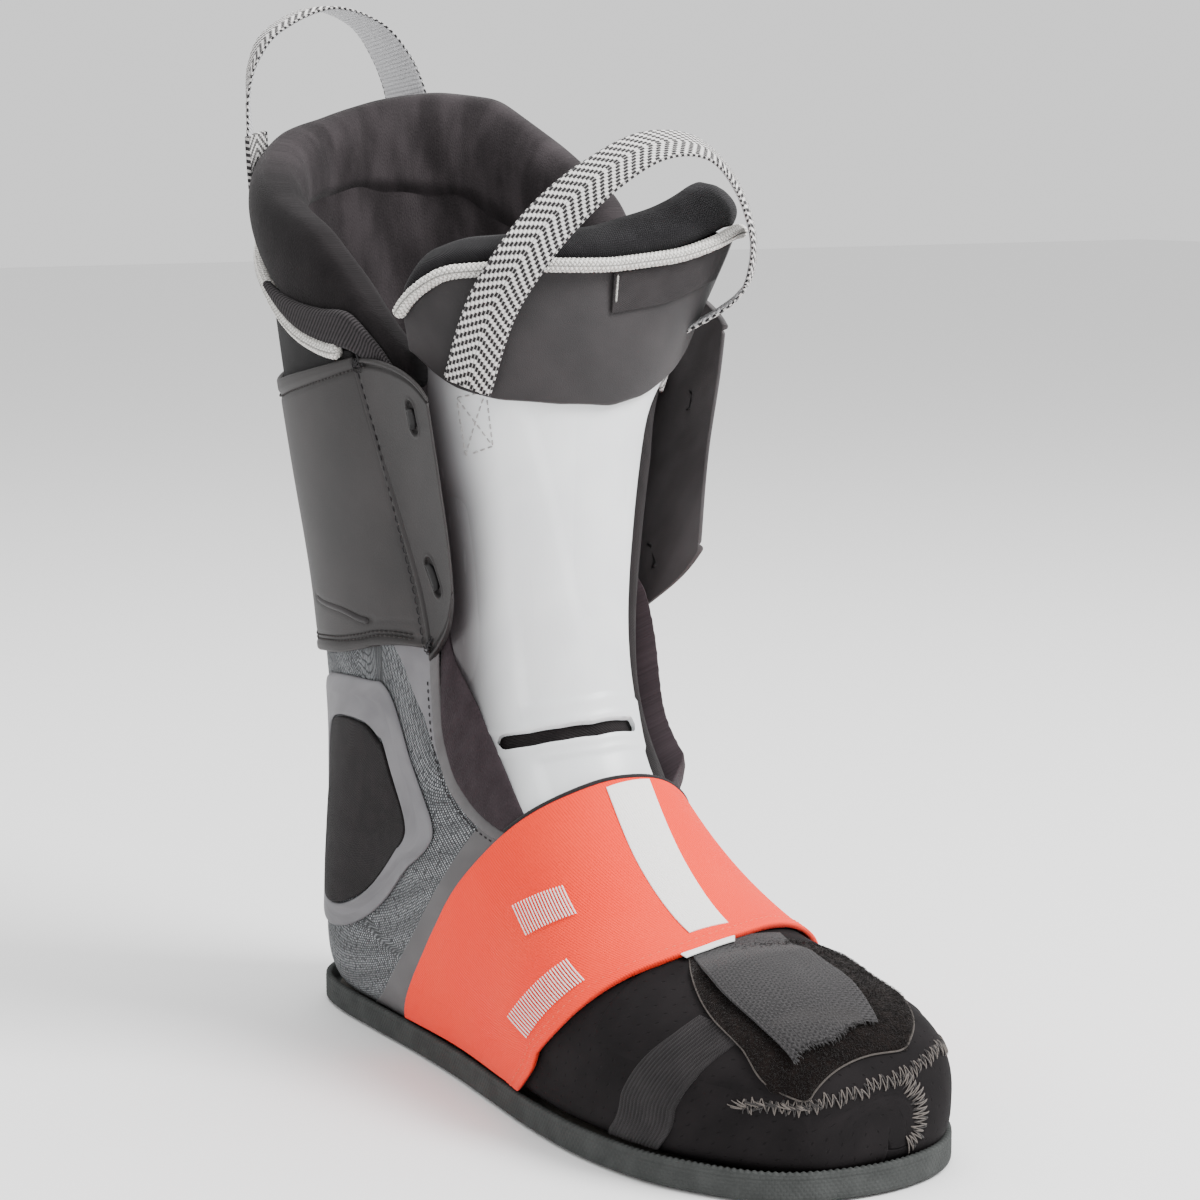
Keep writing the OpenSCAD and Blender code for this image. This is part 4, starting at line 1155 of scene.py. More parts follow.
def toe_side(side, tag):
    """Neoprene side panel of the toe, running under the top panel; side is -1 outer, 1 inner."""
    start = 0.012 if side < 0 else 0.3

    def at(s, t):
        u = mix(start, NOSE_SEAM[-1][0], t ** 1.1)  # closer together at the nose
        low, seam = sole_v(u, HEM_Z), straight(NOSE_SEAM, u)
        low = np.maximum(low, seam + 0.5) if side > 0 else low
        return u, mix(-low, seam - 0.4, s) if side < 0 else mix(seam + 0.4, low, s)

    def relief(u, v, points):
        """Sinks towards the seam up the nose."""
        from_seam = v - straight(NOSE_SEAM, u)
        return -0.5 * MM * np.exp(-(from_seam / 5) ** 2) * ease(1.2, 0.9, u)

    made = patch("toe_neoprene_" + tag, at, -0.3 * MM, FABRIC_T, "neoprene_skin", 1.3, 0.75, relief=relief)
    cloth_piece(made, "liner", "neoprene", "stretched", ["forefoot_lining"], "toe_side_" + tag)
    rib_band(side, tag)


def rib_band(side, tag):
    """Band of fine knitted ribs that run along it, over the side of the toe."""
    def at(s, t):
        high = mix(40, sole_v(4.5, RIM_H + 0.3 * MM), s)
        return mix(read(RIB_FRONT, high), read(RIB_REAR, high), t), side * high

    def ribs(u, v, points):
        across = lengths(points, 0)
        fade = ease(0, 3 * MM, across) * ease(0, 1.5 * MM, across[-1] - across)
        return 0.3 * MM * (np.abs(np.sin(np.pi * across / (1.35 * MM))) - 1) * fade
    made = patch("toe_rib_band_" + tag, at, 0.55 * MM, 0.8 * MM, "rib_knit", 1.2, 0.22, roll=0.5,
                 drop=0.5, relief=ribs)
    cloth_piece(made, "liner", "stretch_fabric", "stretched", ["toe_side_" + tag])


def vamp_top():
    """Top panel of the toe."""
    def at(s, t):
        v = mix(-80, 74, s)
        return mix(read(TOE_EDGE, v), 5.4, t), v

    def off(u, v):
        """Sinks into the side panel where there is no seam, beside the ribs."""
        outer = ease(-66, -78, v) * ease(2.4, 3.0, u)
        inner = ease(60, 70, v) * ease(2.2, 2.8, u)
        return (0.12 - 0.6 * np.maximum(outer, inner)) * MM
    made = patch("vamp_top_panel", at, off, FABRIC_T * 0.6, "neoprene_skin", 1.2, 1.2, roll=1.4, drop=0.55)
    cloth_piece(made, "liner", "stretch_fabric", "stretched", ["forefoot_lining"], "vamp_top")


def toe_seams():
    """Loose zigzag stitching round the top panel and a dense ladder up the nose."""
    v = np.linspace(-80, 70, 40)
    line = trace(list(zip(read(TOE_EDGE, v), v)), 0.2 * MM, 900)
    sizes = ((4.6, 2.4, 0.45, "grey_thread"), (3.4, 1.9, 0.6, "dark_thread"))
    for k, (width, pitch, jitter, look) in enumerate(sizes):
        a, b, n = zigzag(line, width * MM, pitch * MM, jitter, 3 + k)
        made = threads("toe_zigzag_%d" % k, a, b, n, (0.2, 0.3, 0.4), look)
        finish_piece(made, "liner", "white_braid")
    count = 22
    for k, (v, wide, look) in enumerate(((-76, 7, "grey_thread"), (-70, 9, "dark_thread"))):
        rng = np.random.default_rng(21 + k)
        turn = v + rng.uniform(-wide, wide, count)
        low = read(TOE_EDGE, turn) + rng.uniform(-0.16, -0.06, count)
        high = read(TOE_EDGE, turn) + rng.uniform(0.06, 0.16, count)
        a, b = surface(low, turn, 0.3 * MM), surface(high, turn + rng.normal(0, 1.5, count), 0.3 * MM)
        made = threads("toe_bar_tack_%d" % k, a, b, outward(low, turn), (0.2, 0.5, 0.3), look)
        finish_piece(made, "liner", "white_braid")
    nose = trace([(0.46, 138), (0.5, 118), (0.64, 66), (0.76, 38), (0.95, 16)], 0.1 * MM, 500)
    for k, look in enumerate(("grey_thread", "dark_thread")):
        a, b, n = zigzag(nose, 6 * MM, (1.6 + 0.9 * k) * MM, 0.25, 5 + k)
        made = threads("nose_ladder_%d" % k, a, b, n, (0.22, 0.35, 0.4), look)
        finish_piece(made, "liner", "white_braid")


def toe_linings():
    """Padding inside the forefoot and beside the midfoot."""
    def at(s, t):
        u = mix(0.95, 5.7, t)
        v = sole_v(u, HEM_Z + 6 * MM)
        return u, mix(-v, v, s)
    made = patch("forefoot_lining_pad", at, -FABRIC_T - GAP - 0.5 * MM, 4 * MM, "plush", 3, roll=2, drop=1)
    finish_piece(made, "liner", "plush", "forefoot_lining")
    for side, tag in SIDES:
        def beside(s, t, side=side):
            u = mix(5.8, 8.7, t)
            return u, side * mix(52, sole_v(u, HEM_Z + 6 * MM), s)
        made = patch("midfoot_pad_" + tag, beside, -FABRIC_T - GAP - 0.5 * MM, 4.5 * MM, "plush", 3, roll=2,
                     drop=1)
        finish_piece(made, "liner", "foam", "midfoot_foam_" + tag)


# Side edges of the pile panel: u, v
PILE_OUTER = [[1.5, -64], [2.2, -68], [2.93, -51], [4.19, -34], [5.15, -20]]
PILE_INNER = [[1.5, 17], [2.2, 27], [3.2, 36], [4.66, 44], [5.15, 43]]


def loop_patch():
    """Loop pile panel on the toe with short standing fibres and a sewn outline."""
    def at(s, t):
        u = mix(PILE_OUTER[0][0], PILE_OUTER[-1][0], t)
        return u, mix(straight(PILE_OUTER, u), straight(PILE_INNER, u), s)
    low = lambda u, v: mix(GAP + 1.1 * MM, 0.4 * MM, ease(4.7, 5.1, u))
    made = patch("toe_pile", at, low, 0.9 * MM, "loop_pile", 0.9, roll=1.2, drop=0.7)
    cloth_piece(made, "liner", "loop_pile", "laid", ["vamp_top"], "toe_loop_patch")
    edge = [at(np.array(s), np.array(t)) for s, t in
            [(0, 1), (0, 0.8), (0, 0.6), (0, 0.4), (0, 0.25), (0, 0.1), (0.02, 0.01), (0.15, 0), (0.4, 0),
             (0.7, 0), (0.95, 0), (1, 0.1), (1, 0.3), (1, 0.6), (1, 1)]]
    cord_on("toe_pile_edge", [(float(u), float(v)) for u, v in edge], lambda u, v: low(u, v) - 0.5 * MM,
            0.27 * MM, "liner", "loop_pile", "edge_thread", 3, 3 * MM)
    rng, count = np.random.default_rng(4), 9000
    s, t = rng.uniform(0.01, 0.99, count), rng.uniform(0.01, 0.99, count)
    u, v = at(s, t)
    root, n = surface(u, v, low(u, v) - 0.2 * MM), outward(u, v)
    lean = rng.normal(0, 1, (count, 3))
    lean -= (lean * n).sum(1, keepdims=True) * n
    tip = root + lean * 0.55 * MM + n * rng.uniform(0.1, 0.6, count)[:, None] * MM
    fibres = threads("toe_pile_fibres", root, tip, n, (0.07, 0.45, 0.1), "loop_pile", 4, 3)
    finish_piece(fibres, "liner", "loop_pile")


def toe_tab():
    """Coarsely woven tab, cut ragged at its front end."""
    rng = np.random.default_rng(11)
    cut = rng.uniform(0, 0.09, 60)

    def at(s, t):
        ragged = np.interp(s, np.linspace(0, 1, 60), cut) + 0.08 * np.sin(s * 9)
        u = mix(2.0 + ragged, 5.25, t)
        return u, mix(mix(-46, -18, t ** 0.8), mix(3, 17, t), s)

    def relief(u, v, points):
        x = lengths(points, 1)
        y = lengths(points, 0)
        a, b = np.sin(np.pi * x / (1.25 * MM)), np.sin(np.pi * y / (1.05 * MM))
        over = ease(-0.3, 0.3, a * b)
        woven = np.maximum(np.abs(a) * (0.4 + over * 0.6), np.abs(b) * (1 - over * 0.6))
        return 0.42 * MM * (woven - 1) * ease(4.95, 4.6, u) + 0.5 * MM * np.sin(u * 2.1 + v * 0.05)

    made = patch("toe_tab_weave", at, lambda u, v: mix(4.1, 1.3, ease(4.3, 5.05, u)) * MM, 0.9 * MM,
                 "tab_weave", 0.3, 0.3, roll=0.5, drop=0.35, relief=relief)
    cloth_piece(made, "liner", "tab_weave", "laid", ["toe_loop_patch"], "toe_tab")
    rng, count = np.random.default_rng(12), 90
    s = np.linspace(0.02, 0.98, count)
    u, v = at(s, np.zeros(count))
    root, n = surface(u, v, GAP + 3.2 * MM), outward(u, v)
    ahead = surface(u - 0.12, v, GAP + 2.6 * MM)
    tip = root + (ahead - root) * rng.uniform(0.2, 0.75, count)[:, None] + rng.normal(0, 0.35 * MM,
        (count, 3))
    fray = threads("toe_tab_fray", root, tip, n, (0.16, 0.2, 0.1), "tab_weave", 5, 4)
    finish_piece(fray, "liner", "tab_weave")

    def hook_at(s, t):
        return mix(2.15, 2.9, t), mix(mix(-40, -34, t), mix(-1, 2, t), s)
    hook = patch("tab_hook_strip", hook_at, GAP + 2.9 * MM, 1.2 * MM, "hook_strip", 0.8, roll=0.5, drop=0.4)
    finish_piece(hook, "liner", "hook_strip", "tab_hook")

    def stay_at(s, t):
        u = mix(5.03 + 0.06 * np.abs(s - 0.45), 5.35, t)
        return u, mix(mix(-22, -23, t), mix(-3, 1, t), s)
    stay = patch("tongue_stay_bits", stay_at, 2.0 * MM, 0.5 * MM, "stay_plastic", 0.6, roll=0.5, drop=0.4)
    finish_piece(stay, "liner", "white_print", "tongue_stay")


# ---- instep wrap ------------------------------------------------------------------------------------

WRAP_LOW = GAP + 0.1 * MM
WRAP_OUT = WRAP_LOW + WRAP_T
WRAP_ROW = 17  # millimetres from one section to the next under the wrap


def wrap_edge(v):
    """Front and rear edge of the wrap at angle v."""
    return read(WRAP_FRONT, v), read(WRAP_REAR, v)


def instep_wrap():
    """Elastic band over the instep, with a turned hem in front and a bound edge behind."""
    def at(s, t):
        v0 = mix(-120, 120, s)
        front, rear = wrap_edge(v0)
        edge = sole_v(mix(front, rear, t), RIM_H + 2.6 * MM)
        v = mix(-edge, edge, s)
        front, rear = wrap_edge(v)
        return mix(front, rear, t), v

    def relief(u, v, points):
        from_front = (u - read(WRAP_FRONT, v)) * WRAP_ROW * MM
        hem = 0.45 * MM * ease(4.6 * MM, 3.9 * MM, from_front)
        groove_at = -0.35 * MM * np.exp(-((from_front - 3.6 * MM) / (0.5 * MM)) ** 2)
        second = -0.2 * MM * np.exp(-((from_front - 2.2 * MM) / (0.4 * MM)) ** 2)
        pull = 0.12 * MM * np.sin(v * 0.11 + u * 2.3) * ease(0, 25, np.abs(v))
        return hem + groove_at + second + pull

    made = patch("instep_wrap_elastic", at, WRAP_OUT, WRAP_T, "wrap_elastic", 1.0, 0.8, roll=0.8,
                 drop=0.6, relief=relief)
    cloth_piece(made, "liner", "wrap_elastic", "stretched", ["vamp_top", "outsole"], "instep_wrap")
    v = np.linspace(-54, 50, 24)
    places = list(zip(read(WRAP_REAR, v) + 0.02, v))
    cord_on("wrap_binding", places, WRAP_LOW + 0.8 * MM, 0.75 * MM, "liner", "wrap_elastic", "black_thread",
            4, 3 * MM)
    v = np.linspace(-112, 112, 60)
    for k, inset in enumerate((0.09, 0.19)):
        sewn("wrap_hem_stitch_%d" % k, list(zip(read(WRAP_FRONT, v) + inset, v)), WRAP_OUT - 0.05 * MM,
             "liner", "wrap_elastic", "wrap_thread", 2.6, 2.0, 0.22)


def wrap_prints():
    """Flat printed centre stripe and plain groups of slanting lines."""
    def stripe(s, t):
        u = mix(5.5, 8.22, t)
        return u, mix(mix(-13.5, -12.5, t), mix(0.5, 7.3, t), s)
    made = patch("wrap_stripe_print", stripe, WRAP_OUT + 0.5 * MM, 0.5 * MM, "white_print", 1.2, roll=0.3,
                 drop=0.2)
    finish_piece(made, "liner", "white_print", "wrap_stripe")
    hatch("wrap_lines_hem", (5.95, -54), (6.5, -86), 27)
    hatch("wrap_lines_upper", (6.85, -42), (7.3, -62), 18)
    hatch("wrap_lines_inner", (6.3, 56), (6.75, 90), 26)


def hatch(name, start, stop, count):
    """A plain slanting bar filled with thin parallel lines, from one (u, v) place to another."""
    found, tall = [], 0.5
    for q in np.linspace(0, 1, count):
        u, v = mix(start[0], stop[0], q), mix(start[1], stop[1], q)
        line, normal = trace([(u, v), (u + tall, v)], WRAP_OUT + 0.55 * MM, 14)
        found.append((line[:-1], line[1:], normal[:-1]))
    a, b, n = (np.vstack(part) for part in zip(*found))
    finish_piece(threads(name, a, b, n, (0.36, 0, 0), "white_print", 2, 6), "liner", "white_print")


# ---- quarters ---------------------------------------------------------------------------------------

# Rear edge of the film on the throat: u, v. Top of the film along the wrap: v, u
THROAT_FILM = [[9.75, 66.5], [10.31, 69], [10.88, 72], [11.58, 78.7], [12.4, 90]]
WRAP_FILM = [[56, 9.02], [62, 9.04], [92, 9.05], [120, 9.1], [150, 9.3]]
NEAR_BACK = 179.6  # angle at which the two sides' pieces end, next to the middle of the back


def quarter(side, tag):
    """Knitted quarter with its films, binding and stitching."""
    def at(s, t):
        v0 = mix(read(THROAT, mix(8.3, 12.6, t)), NEAR_BACK, s)
        low = heel_u(v0, HEM_Z, 8.3)
        u = mix(low, 12.95, t)
        return u, side * mix(read(THROAT, u), NEAR_BACK, s)
    made = patch("quarter_knit_" + tag, at, 0, FABRIC_T, "quarter_knit", 2.0, 1.6)
    cloth_piece(made, "liner", "quarter_knit", "stretched", ["outsole", "cuff_foam"], "quarter_" + tag)

    def throat_film(s, t):
        u = mix(9.75, 12.4, t)
        return u, side * mix(read(THROAT, u) + 0.5, straight(THROAT_FILM, u), s)
    film = patch("throat_film_" + tag, throat_film, 0.5 * MM, 0.6 * MM, "welded_film", 1.2, roll=0.8,
                 drop=0.45)
    finish_piece(film, "liner", "welded_film")

    def wrap_film(s, t):
        v = mix(56, 150, s)
        return mix(read(WRAP_REAR, np.minimum(v, 120)) - 0.35, read(WRAP_FILM, v), t), side * v
    film = patch("wrap_film_" + tag, wrap_film, 0.45 * MM, 0.6 * MM, "seam_film", 1.5, roll=0.6, drop=0.4)
    finish_piece(film, "liner", "welded_film")

    def binding(s, t):
        u = mix(8.55, 11.4, t)
        return u, side * (read(THROAT, u) + mix(-1.2, 2.4, s))

    def puffed(u, v, points):
        k = (np.abs(v) - read(THROAT, u) + 1.2) / 3.6
        return 0.4 * MM * np.sin(np.pi * np.clip(k, 0, 1)) + 0.1 * MM * np.sin(u * 60)
    bound = patch("throat_binding_" + tag, binding, 0.75 * MM, 0.9 * MM, "throat_binding", 0.5, 0.9, roll=0.8,
                  drop=0.7, relief=puffed)
    finish_piece(bound, "liner", "welded_film")
    u = np.linspace(8.7, 11.25, 14)
    sewn("throat_stitches_" + tag, list(zip(u, side * (read(THROAT, u) + 3.3))), 0.35 * MM, "liner",
         "white_braid", "black_thread", 2.6, 1.9, 0.26)
    ankle(side, tag)


def window_at(side, angle, k):
    """Place at share k of the way from the middle of the ankle window to its outline, at angle, in turns."""
    p = WINDOW_MID + k[..., None] * (round_loop(WINDOW, angle % 1) - WINDOW_MID)
    return p[..., 0], side * p[..., 1]


def ankle(side, tag):
    """Welded frame round a padded mesh window on the ankle."""
    def ring(s, t):
        return window_at(side, s, mix(0.99, 1.36, t))
    border = patch("ankle_frame_film_" + tag, ring, GAP + 0.9 * MM, 0.9 * MM, "welded_film", 1.0, 0.8,
                   roll=1.3, drop=0.75, wrapped=True)
    finish_piece(border, "liner", "welded_film", "ankle_frame_" + tag)

    def disc(s, t):
        a, b = 2 * s - 1, 2 * t - 1
        k = np.maximum(np.abs(a), np.abs(b))
        return window_at(side, np.arctan2(b, a) / (2 * np.pi), np.maximum(k, 1e-4) * 0.97)

    def quilt(u, v, points):
        half_u, half_v = 1.1, 27
        edge = np.hypot((u - WINDOW_MID[0]) / half_u, (np.abs(v) - WINDOW_MID[1]) / half_v)
        puffed = 1.3 * MM * np.clip(1 - edge ** 2, 0, 1)
        return puffed + 0.25 * MM * np.sin(u * 9 + v * 0.21) * np.clip(1 - edge, 0, 1)
    pad = patch("ankle_window_" + tag, disc, GAP + 0.45 * MM, 0.8 * MM, "ankle_mesh", 1.0, relief=quilt)
    finish_piece(pad, "liner", "ankle_fabric", "ankle_pad_" + tag)


def back_strip():
    """Film over the seam down the back."""
    def at(s, t):
        return mix(10.75, 13, t), mix(172, 188, s)
    made = patch("back_strip_film", at, GAP + 1 * MM, 1 * MM, "welded_film", 0.9, roll=1.2, drop=0.7)
    finish_piece(made, "liner", "welded_film", "back_strip")
    u = np.linspace(10.85, 12.9, 12)
    for k, v in enumerate((174, 186)):
        sewn("back_strip_stitches_%d" % k, [(q, v) for q in u], GAP + 0.9 * MM, "liner", "white_braid",
             "black_thread")


# ---- leg --------------------------------------------------------------------------------------------

def leg_layer(top):
    """Patch inside the leg, from low on the heel up to the line top(v)."""
    layer = round_back(66, lambda h: heel_u(h, HEM_Z + 9 * MM, 8.8), top)
    return lambda s, t: layer(s, t ** 1.4)


def leg_lining():
    """Foam of the leg and the plush inside it, which ends well behind the padded collar."""
    foam_at = leg_layer(lambda h: read(COLLAR_LINE, h) - 0.02)
    foam = patch("cuff_foam_layer", foam_at, lambda u, v: FOAM_OUT - 3.4 * MM * ease(10.6, 9.2, u),
                 6.5 * MM, "foam", 5)
    finish_piece(foam, "liner", "foam", "cuff_foam")

    def inner(u, v):
        soft = np.sin(v * 0.15 + u * 1.1) * np.sin(u * 2.3 + 1.7) + 0.5 * np.sin(v * 0.31 - u * 1.9)
        crease = np.exp(-((half(v) - 84) / 4) ** 2) * ease(12.5, 14.5, u)
        return PLUSH_IN - 0.7 * MM * soft + 2.0 * MM * crease
    lining_at = leg_layer(lambda h: mix(read(COLLAR_LINE, h), read(RIM, h), 0.25))
    lining = patch("cuff_lining_plush", lining_at, PLUSH_OUT, PLUSH_OUT - PLUSH_IN, "plush", 2.4,
                   inner_off=inner)
    cloth_piece(lining, "liner", "plush", "stretched", ["cuff_foam"], "cuff_lining")


def panel_seams(side):
    """Lines of stitching on a cuff panel, as (u, v) places on the outer side."""
    front = [(14.6, 76), (13.84, 73.4), (12.81, 71.8), (11.91, 69.8), (11.45, 68.4)]
    h = np.linspace(72, 178, 14)
    top = [(read(PANEL_TOP, q) - 0.13, q) for q in h]
    hem = [(read(PANEL_HEM, q) + 0.075, q) for q in h]
    return [[(float(u), side * float(v)) for u, v in line] for line in (front, top, hem)]


def cuff_panel(side, tag):
    """Moulded cuff panel: rolled top seam, stitched hem with a lip, debossed band."""
    def at(s, t):
        h = mix(read(FLAP_SEAM, mix(11.6, 14.6, t)) - 1.5, NEAR_BACK, s)
        u = mix(read(PANEL_HEM, h), read(PANEL_TOP, h), t)
        return u, side * mix(read(FLAP_SEAM, u) - 1.5, NEAR_BACK, s)
    front, top, hem = panel_seams(side)
    band_end = [(12.62, side * 102), (12.95, side * 120)]

    def relief(u, v, points):
        low, high = read(PANEL_HEM, np.abs(v)), read(PANEL_TOP, np.abs(v))
        lip = 0.45 * MM * ease(0.06, 0.035, u - low) - 0.4 * MM * np.exp(-((u - low - 0.09) / 0.03) ** 2)
        fold = 0.5 * MM * ease(0.12, 0.08, high - u) - 0.35 * MM * np.exp(-((high - u - 0.13) / 0.025) ** 2)
        seam = groove(points, front, PANEL_OUT, 0.9 * MM, 0.45 * MM)
        thin_line = groove(points, [(12.25, side * 89), (12.0, side * 78), (11.8, side * 70)], PANEL_OUT,
                           0.6 * MM, 0.22 * MM)
        band = thin_line + groove(points, [(12.25, side * 89), *band_end], PANEL_OUT, 1.3 * MM, 0.5 * MM)
        billow = 0.5 * MM * np.sin(v * 0.05 + u * 0.9) * np.sin(u * 1.4)
        return lip + fold + seam + band + billow

    made = patch("cuff_panel_skin_" + tag, at, PANEL_OUT, PANEL_T, "panel_satin", 1.0, 0.8, roll=1.0,
                 drop=0.8, relief=relief)
    finish_piece(made, "liner", "panel_plastic", "cuff_panel_" + tag)
    cord_on("panel_mark_" + tag, [(12.27, side * 90), *band_end], PANEL_OUT - 0.9 * MM, 1.3 * MM, "liner",
            "panel_plastic", "panel_mark", 2, 9 * MM, 0.0, 10)
    sewn("panel_front_stitches_" + tag, front, PANEL_OUT - 0.2 * MM, "liner", "white_braid", "black_thread",
         3.4, 2.7, 0.26)
    sewn("panel_top_stitches_" + tag, top, PANEL_OUT + 0.15 * MM, "liner", "white_braid", "dark_thread", 2.2,
         1.6, 0.27)
    for k, gap_mm in enumerate((0, 1.4)):
        sewn("panel_hem_stitches_%s_%d" % (tag, k), hem, PANEL_OUT + 0.1 * MM, "liner", "white_braid",
             "dark_thread", 2.4, 1.8, 0.28, side * gap_mm)
    knot("panel_knot_low_" + tag, 11.45, side * 65.6, PANEL_OUT + 0.6 * MM, FLAP_BODY[tag], 31)
    knot("panel_knot_high_" + tag, 14.55, side * 75, PANEL_OUT + 0.2 * MM, "liner", 32)


FLAP_BODY = {"lateral": "outer_flap", "medial": "inner_flap"}
FLAP_SLOTS = (((13.91, 56.9), (13.67, 56.9)), ((12.24, 62), (11.88, 59.6)))  # ends of each slot: u, v


def cuff_flap(side, tag, lift_low, lift_top, u_low, u_top, look):
    """Free front flap of the cuff panel with a beaded edge and two recessed slots."""
    def at(s, t):
        k = 1 - s
        round_off, drop = 0.2 * k ** 8, 0.5 * k * k
        u = mix(u_low + round_off, u_top - drop - round_off, t)
        return u, side * mix(read(FLAP_SEAM, u) - 0.5, read(FLAP_EDGE, u), k)

    def shares(u, v):
        seam, edge = read(FLAP_SEAM, u), read(FLAP_EDGE, u)
        k = np.clip((seam - np.abs(v)) / (seam - edge), 0, 1)
        return k, np.clip((u - u_low) / (u_top - 0.5 * k * k - u_low), 0, 1)

    def off(u, v):
        k, t = shares(u, v)
        return PANEL_OUT + mix(lift_low, lift_top, t) * MM * k * k

    def slot_line(pair):
        u, v = np.array(pair).T
        return surface(u, side * v, off(u, v))

    def relief(u, v, points):
        k = shares(u, v)[0]
        around, up = lengths(points, 1), lengths(points, 0)
        to_edge = np.minimum(around[:, -1:] - around, np.minimum(up, up[-1] - up))
        to_edge = np.minimum(to_edge, np.where(k > 0.3, to_edge, 1))
        bead = 0.7 * MM * ease(1.9 * MM, 1.1 * MM, to_edge)
        bead = bead - 1.1 * MM * np.exp(-((to_edge - 2.4 * MM) / (0.5 * MM)) ** 2)
        holes = 0 * u
        for pair in FLAP_SLOTS:
            d = distance_to(points, slot_line(pair))
            holes -= 1.3 * MM * ease(2.4 * MM, 1.9 * MM, d)
            holes += 0.35 * MM * np.exp(-((d - 2.9 * MM) / (0.45 * MM)) ** 2)
        return bead * ease(0.02, 0.2, k) + holes

    made = patch("cuff_flap_skin_" + tag, at, off, PANEL_T, look, 0.45, 0.6, roll=0.9, drop=0.8,
                 relief=relief)
    body = FLAP_BODY[tag]
    finish_piece(made, body, "panel_plastic", "flap_" + tag)
    for k, pair in enumerate(FLAP_SLOTS):
        line = slot_line(pair)
        a, b = line[:1], line[1:]
        beside = surface(np.array([pair[0][0]]), np.array([side * (pair[0][1] + 3)]),
                         off(*np.array(pair[:1]).T))
        n = np.cross(b - a, beside - a)
        bar = threads("flap_slot_%s_%d" % (tag, k), a, b, n, (1.55, 0.1, 1.0), "dark_film", 12, 12)
        finish_piece(bar, body, "panel_plastic")


def collar_mesh():
    """Mesh band under the collar, with a ribbed fold at each end."""
    at = round_back(78, lambda h: read(PANEL_TOP, h) - 0.5, lambda h: read(COLLAR_LINE, h) - 0.1)
    made = patch("collar_mesh_band", at, 0.2 * MM, FABRIC_T, "collar_mesh", 1.6, 1.2)
    cloth_piece(made, "liner", "mesh", "stretched", ["cuff_foam"], "collar_mesh")
    for side, tag in SIDES:
        collar_fold(side, tag)


def collar_fold(side, tag):
    """Ribbed binding folded over the front end of the collar."""
    wide = [[62, 0.05], [67, 0.26], [76, 0.42], [86, 0.34], [98, 0.22], [112, 0.03]]

    def at(s, t):
        high = mix(63, 112, s)
        return read(COLLAR_LINE, high) - 0.08 + read(wide, high) * t, side * high

    def off(u, v):
        high = np.abs(v)
        return (2.9 + 4.2 * ease(70, 120, high) - 1.2 * ease(84, 110, high)) * MM

    def ribs(u, v, points):
        slant = lengths(points, 1) + lengths(points, 0) * 0.8
        return 0.3 * MM * (np.abs(np.sin(np.pi * slant / (1.5 * MM))) - 1)
    made = patch("collar_fold_" + tag, at, off, 0, "fold_knit", 0.4, 0.5, roll=2.2, drop=2.0,
                 relief=ribs, inner_off=lambda u, v: off(u, v) - 3.4 * MM)
    finish_piece(made, "liner", "mesh")


def collar_roll():
    """Padded plush collar that rolls over the rim, puffed up as filled cloth."""
    def at(s, t):
        v = mix(60, 300, s)
        return mix(read(COLLAR_LINE, half(v)) + 0.02, read(RIM, v), t), v

    def share(u, v):
        return share_between(u, read(COLLAR_LINE, half(v)) + 0.02, read(RIM, v))

    def out(u, v):
        t = share(u, v)
        swell = 5 * ease(70, 120, half(v))
        return (0.2 + swell * np.sin(np.radians(40 + 130 * t)) - 3.5 * t ** 6) * MM - 0.6 * MM

    def inner(u, v):
        t = share(u, v)
        fold = 0.8 * MM * np.sin(v * 0.33) * np.sin(np.pi * t)
        meet = (1.7 - 4.2 * ease(0.0, 0.22, t)) * MM
        return PLUSH_IN + meet + 5.5 * MM * t ** 6 + fold * t
    made = patch("collar_plush", at, out, 0, "plush", 1.7, 1.5, inner_off=inner)
    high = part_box("collar_roll")[1]

    def hold(points):
        """Sewn edges stay put; the rest is free."""
        front, low = ease(0.004, -0.014, points[:, 1]), ease(high.z - 0.032, high.z - 0.045, points[:, 2])
        return np.clip(front + low * 0.6, 0.1, 1)
    soften(made, 3.0 * MM, hold)
    smooth_ends(made)
    finish_piece(made, "liner", "plush", "collar_roll")


def share_between(u, low, high):
    """Share, 0 to 1, of the way from low to high."""
    return np.clip((u - low) / np.maximum(high - low, 1e-6), 0, 1)


def smooth_ends(made):
    """Rounds a padded piece's edges a little."""
    bm = bmesh.new()
    bm.from_mesh(made.data)
    for _ in range(2):
        bmesh.ops.smooth_vert(bm, verts=bm.verts, factor=0.45, use_axis_x=True, use_axis_y=True,
                              use_axis_z=True)
    bm.to_mesh(made.data)
    bm.free()


def pipings():
    """Braided cords under the collar and under the tongue's pad."""
    v = np.linspace(81, 279, 90)
    line = surface(read(COLLAR_LINE, half(v)) - 0.12, v, 2.4 * MM)
    cord = tube("collar_piping_braid", line, PIPING_R, "white_braid", 28, 0.35 * MM,
                braid_relief(6, 9 * MM, 0.55 * MM))
    finish_piece(cord, "liner", "white_braid", "collar_piping")
    v = np.linspace(-59, 50, 80)
    u = read(TONGUE_LINE, v) - 0.03
    line = surface(u, v, flare(u, v) + 2.9 * MM)
    cord = tube("tongue_piping_braid", line, PIPING_R * 0.86, "white_braid", 28, 0.35 * MM,
                braid_relief(6, 9 * MM, 0.5 * MM))
    finish_piece(cord, "tongue", "white_braid", "tongue_piping")


LIP_START = 8.35  # u of the lips' lower ends, under the wrap
# Edge of each lip beside the tongue: u, v
LIP_EDGE = {"lateral": [[8.35, 45], [9.25, 46.5], [9.7, 48], [10.35, 51.5], [11.2, 59.5], [11.6, 62.5]],
            "medial": [[8.35, 38.5], [8.8, 44.4], [9.2, 48.4], [9.8, 51.9], [10.5, 53.4], [11.8, 51.8]]}


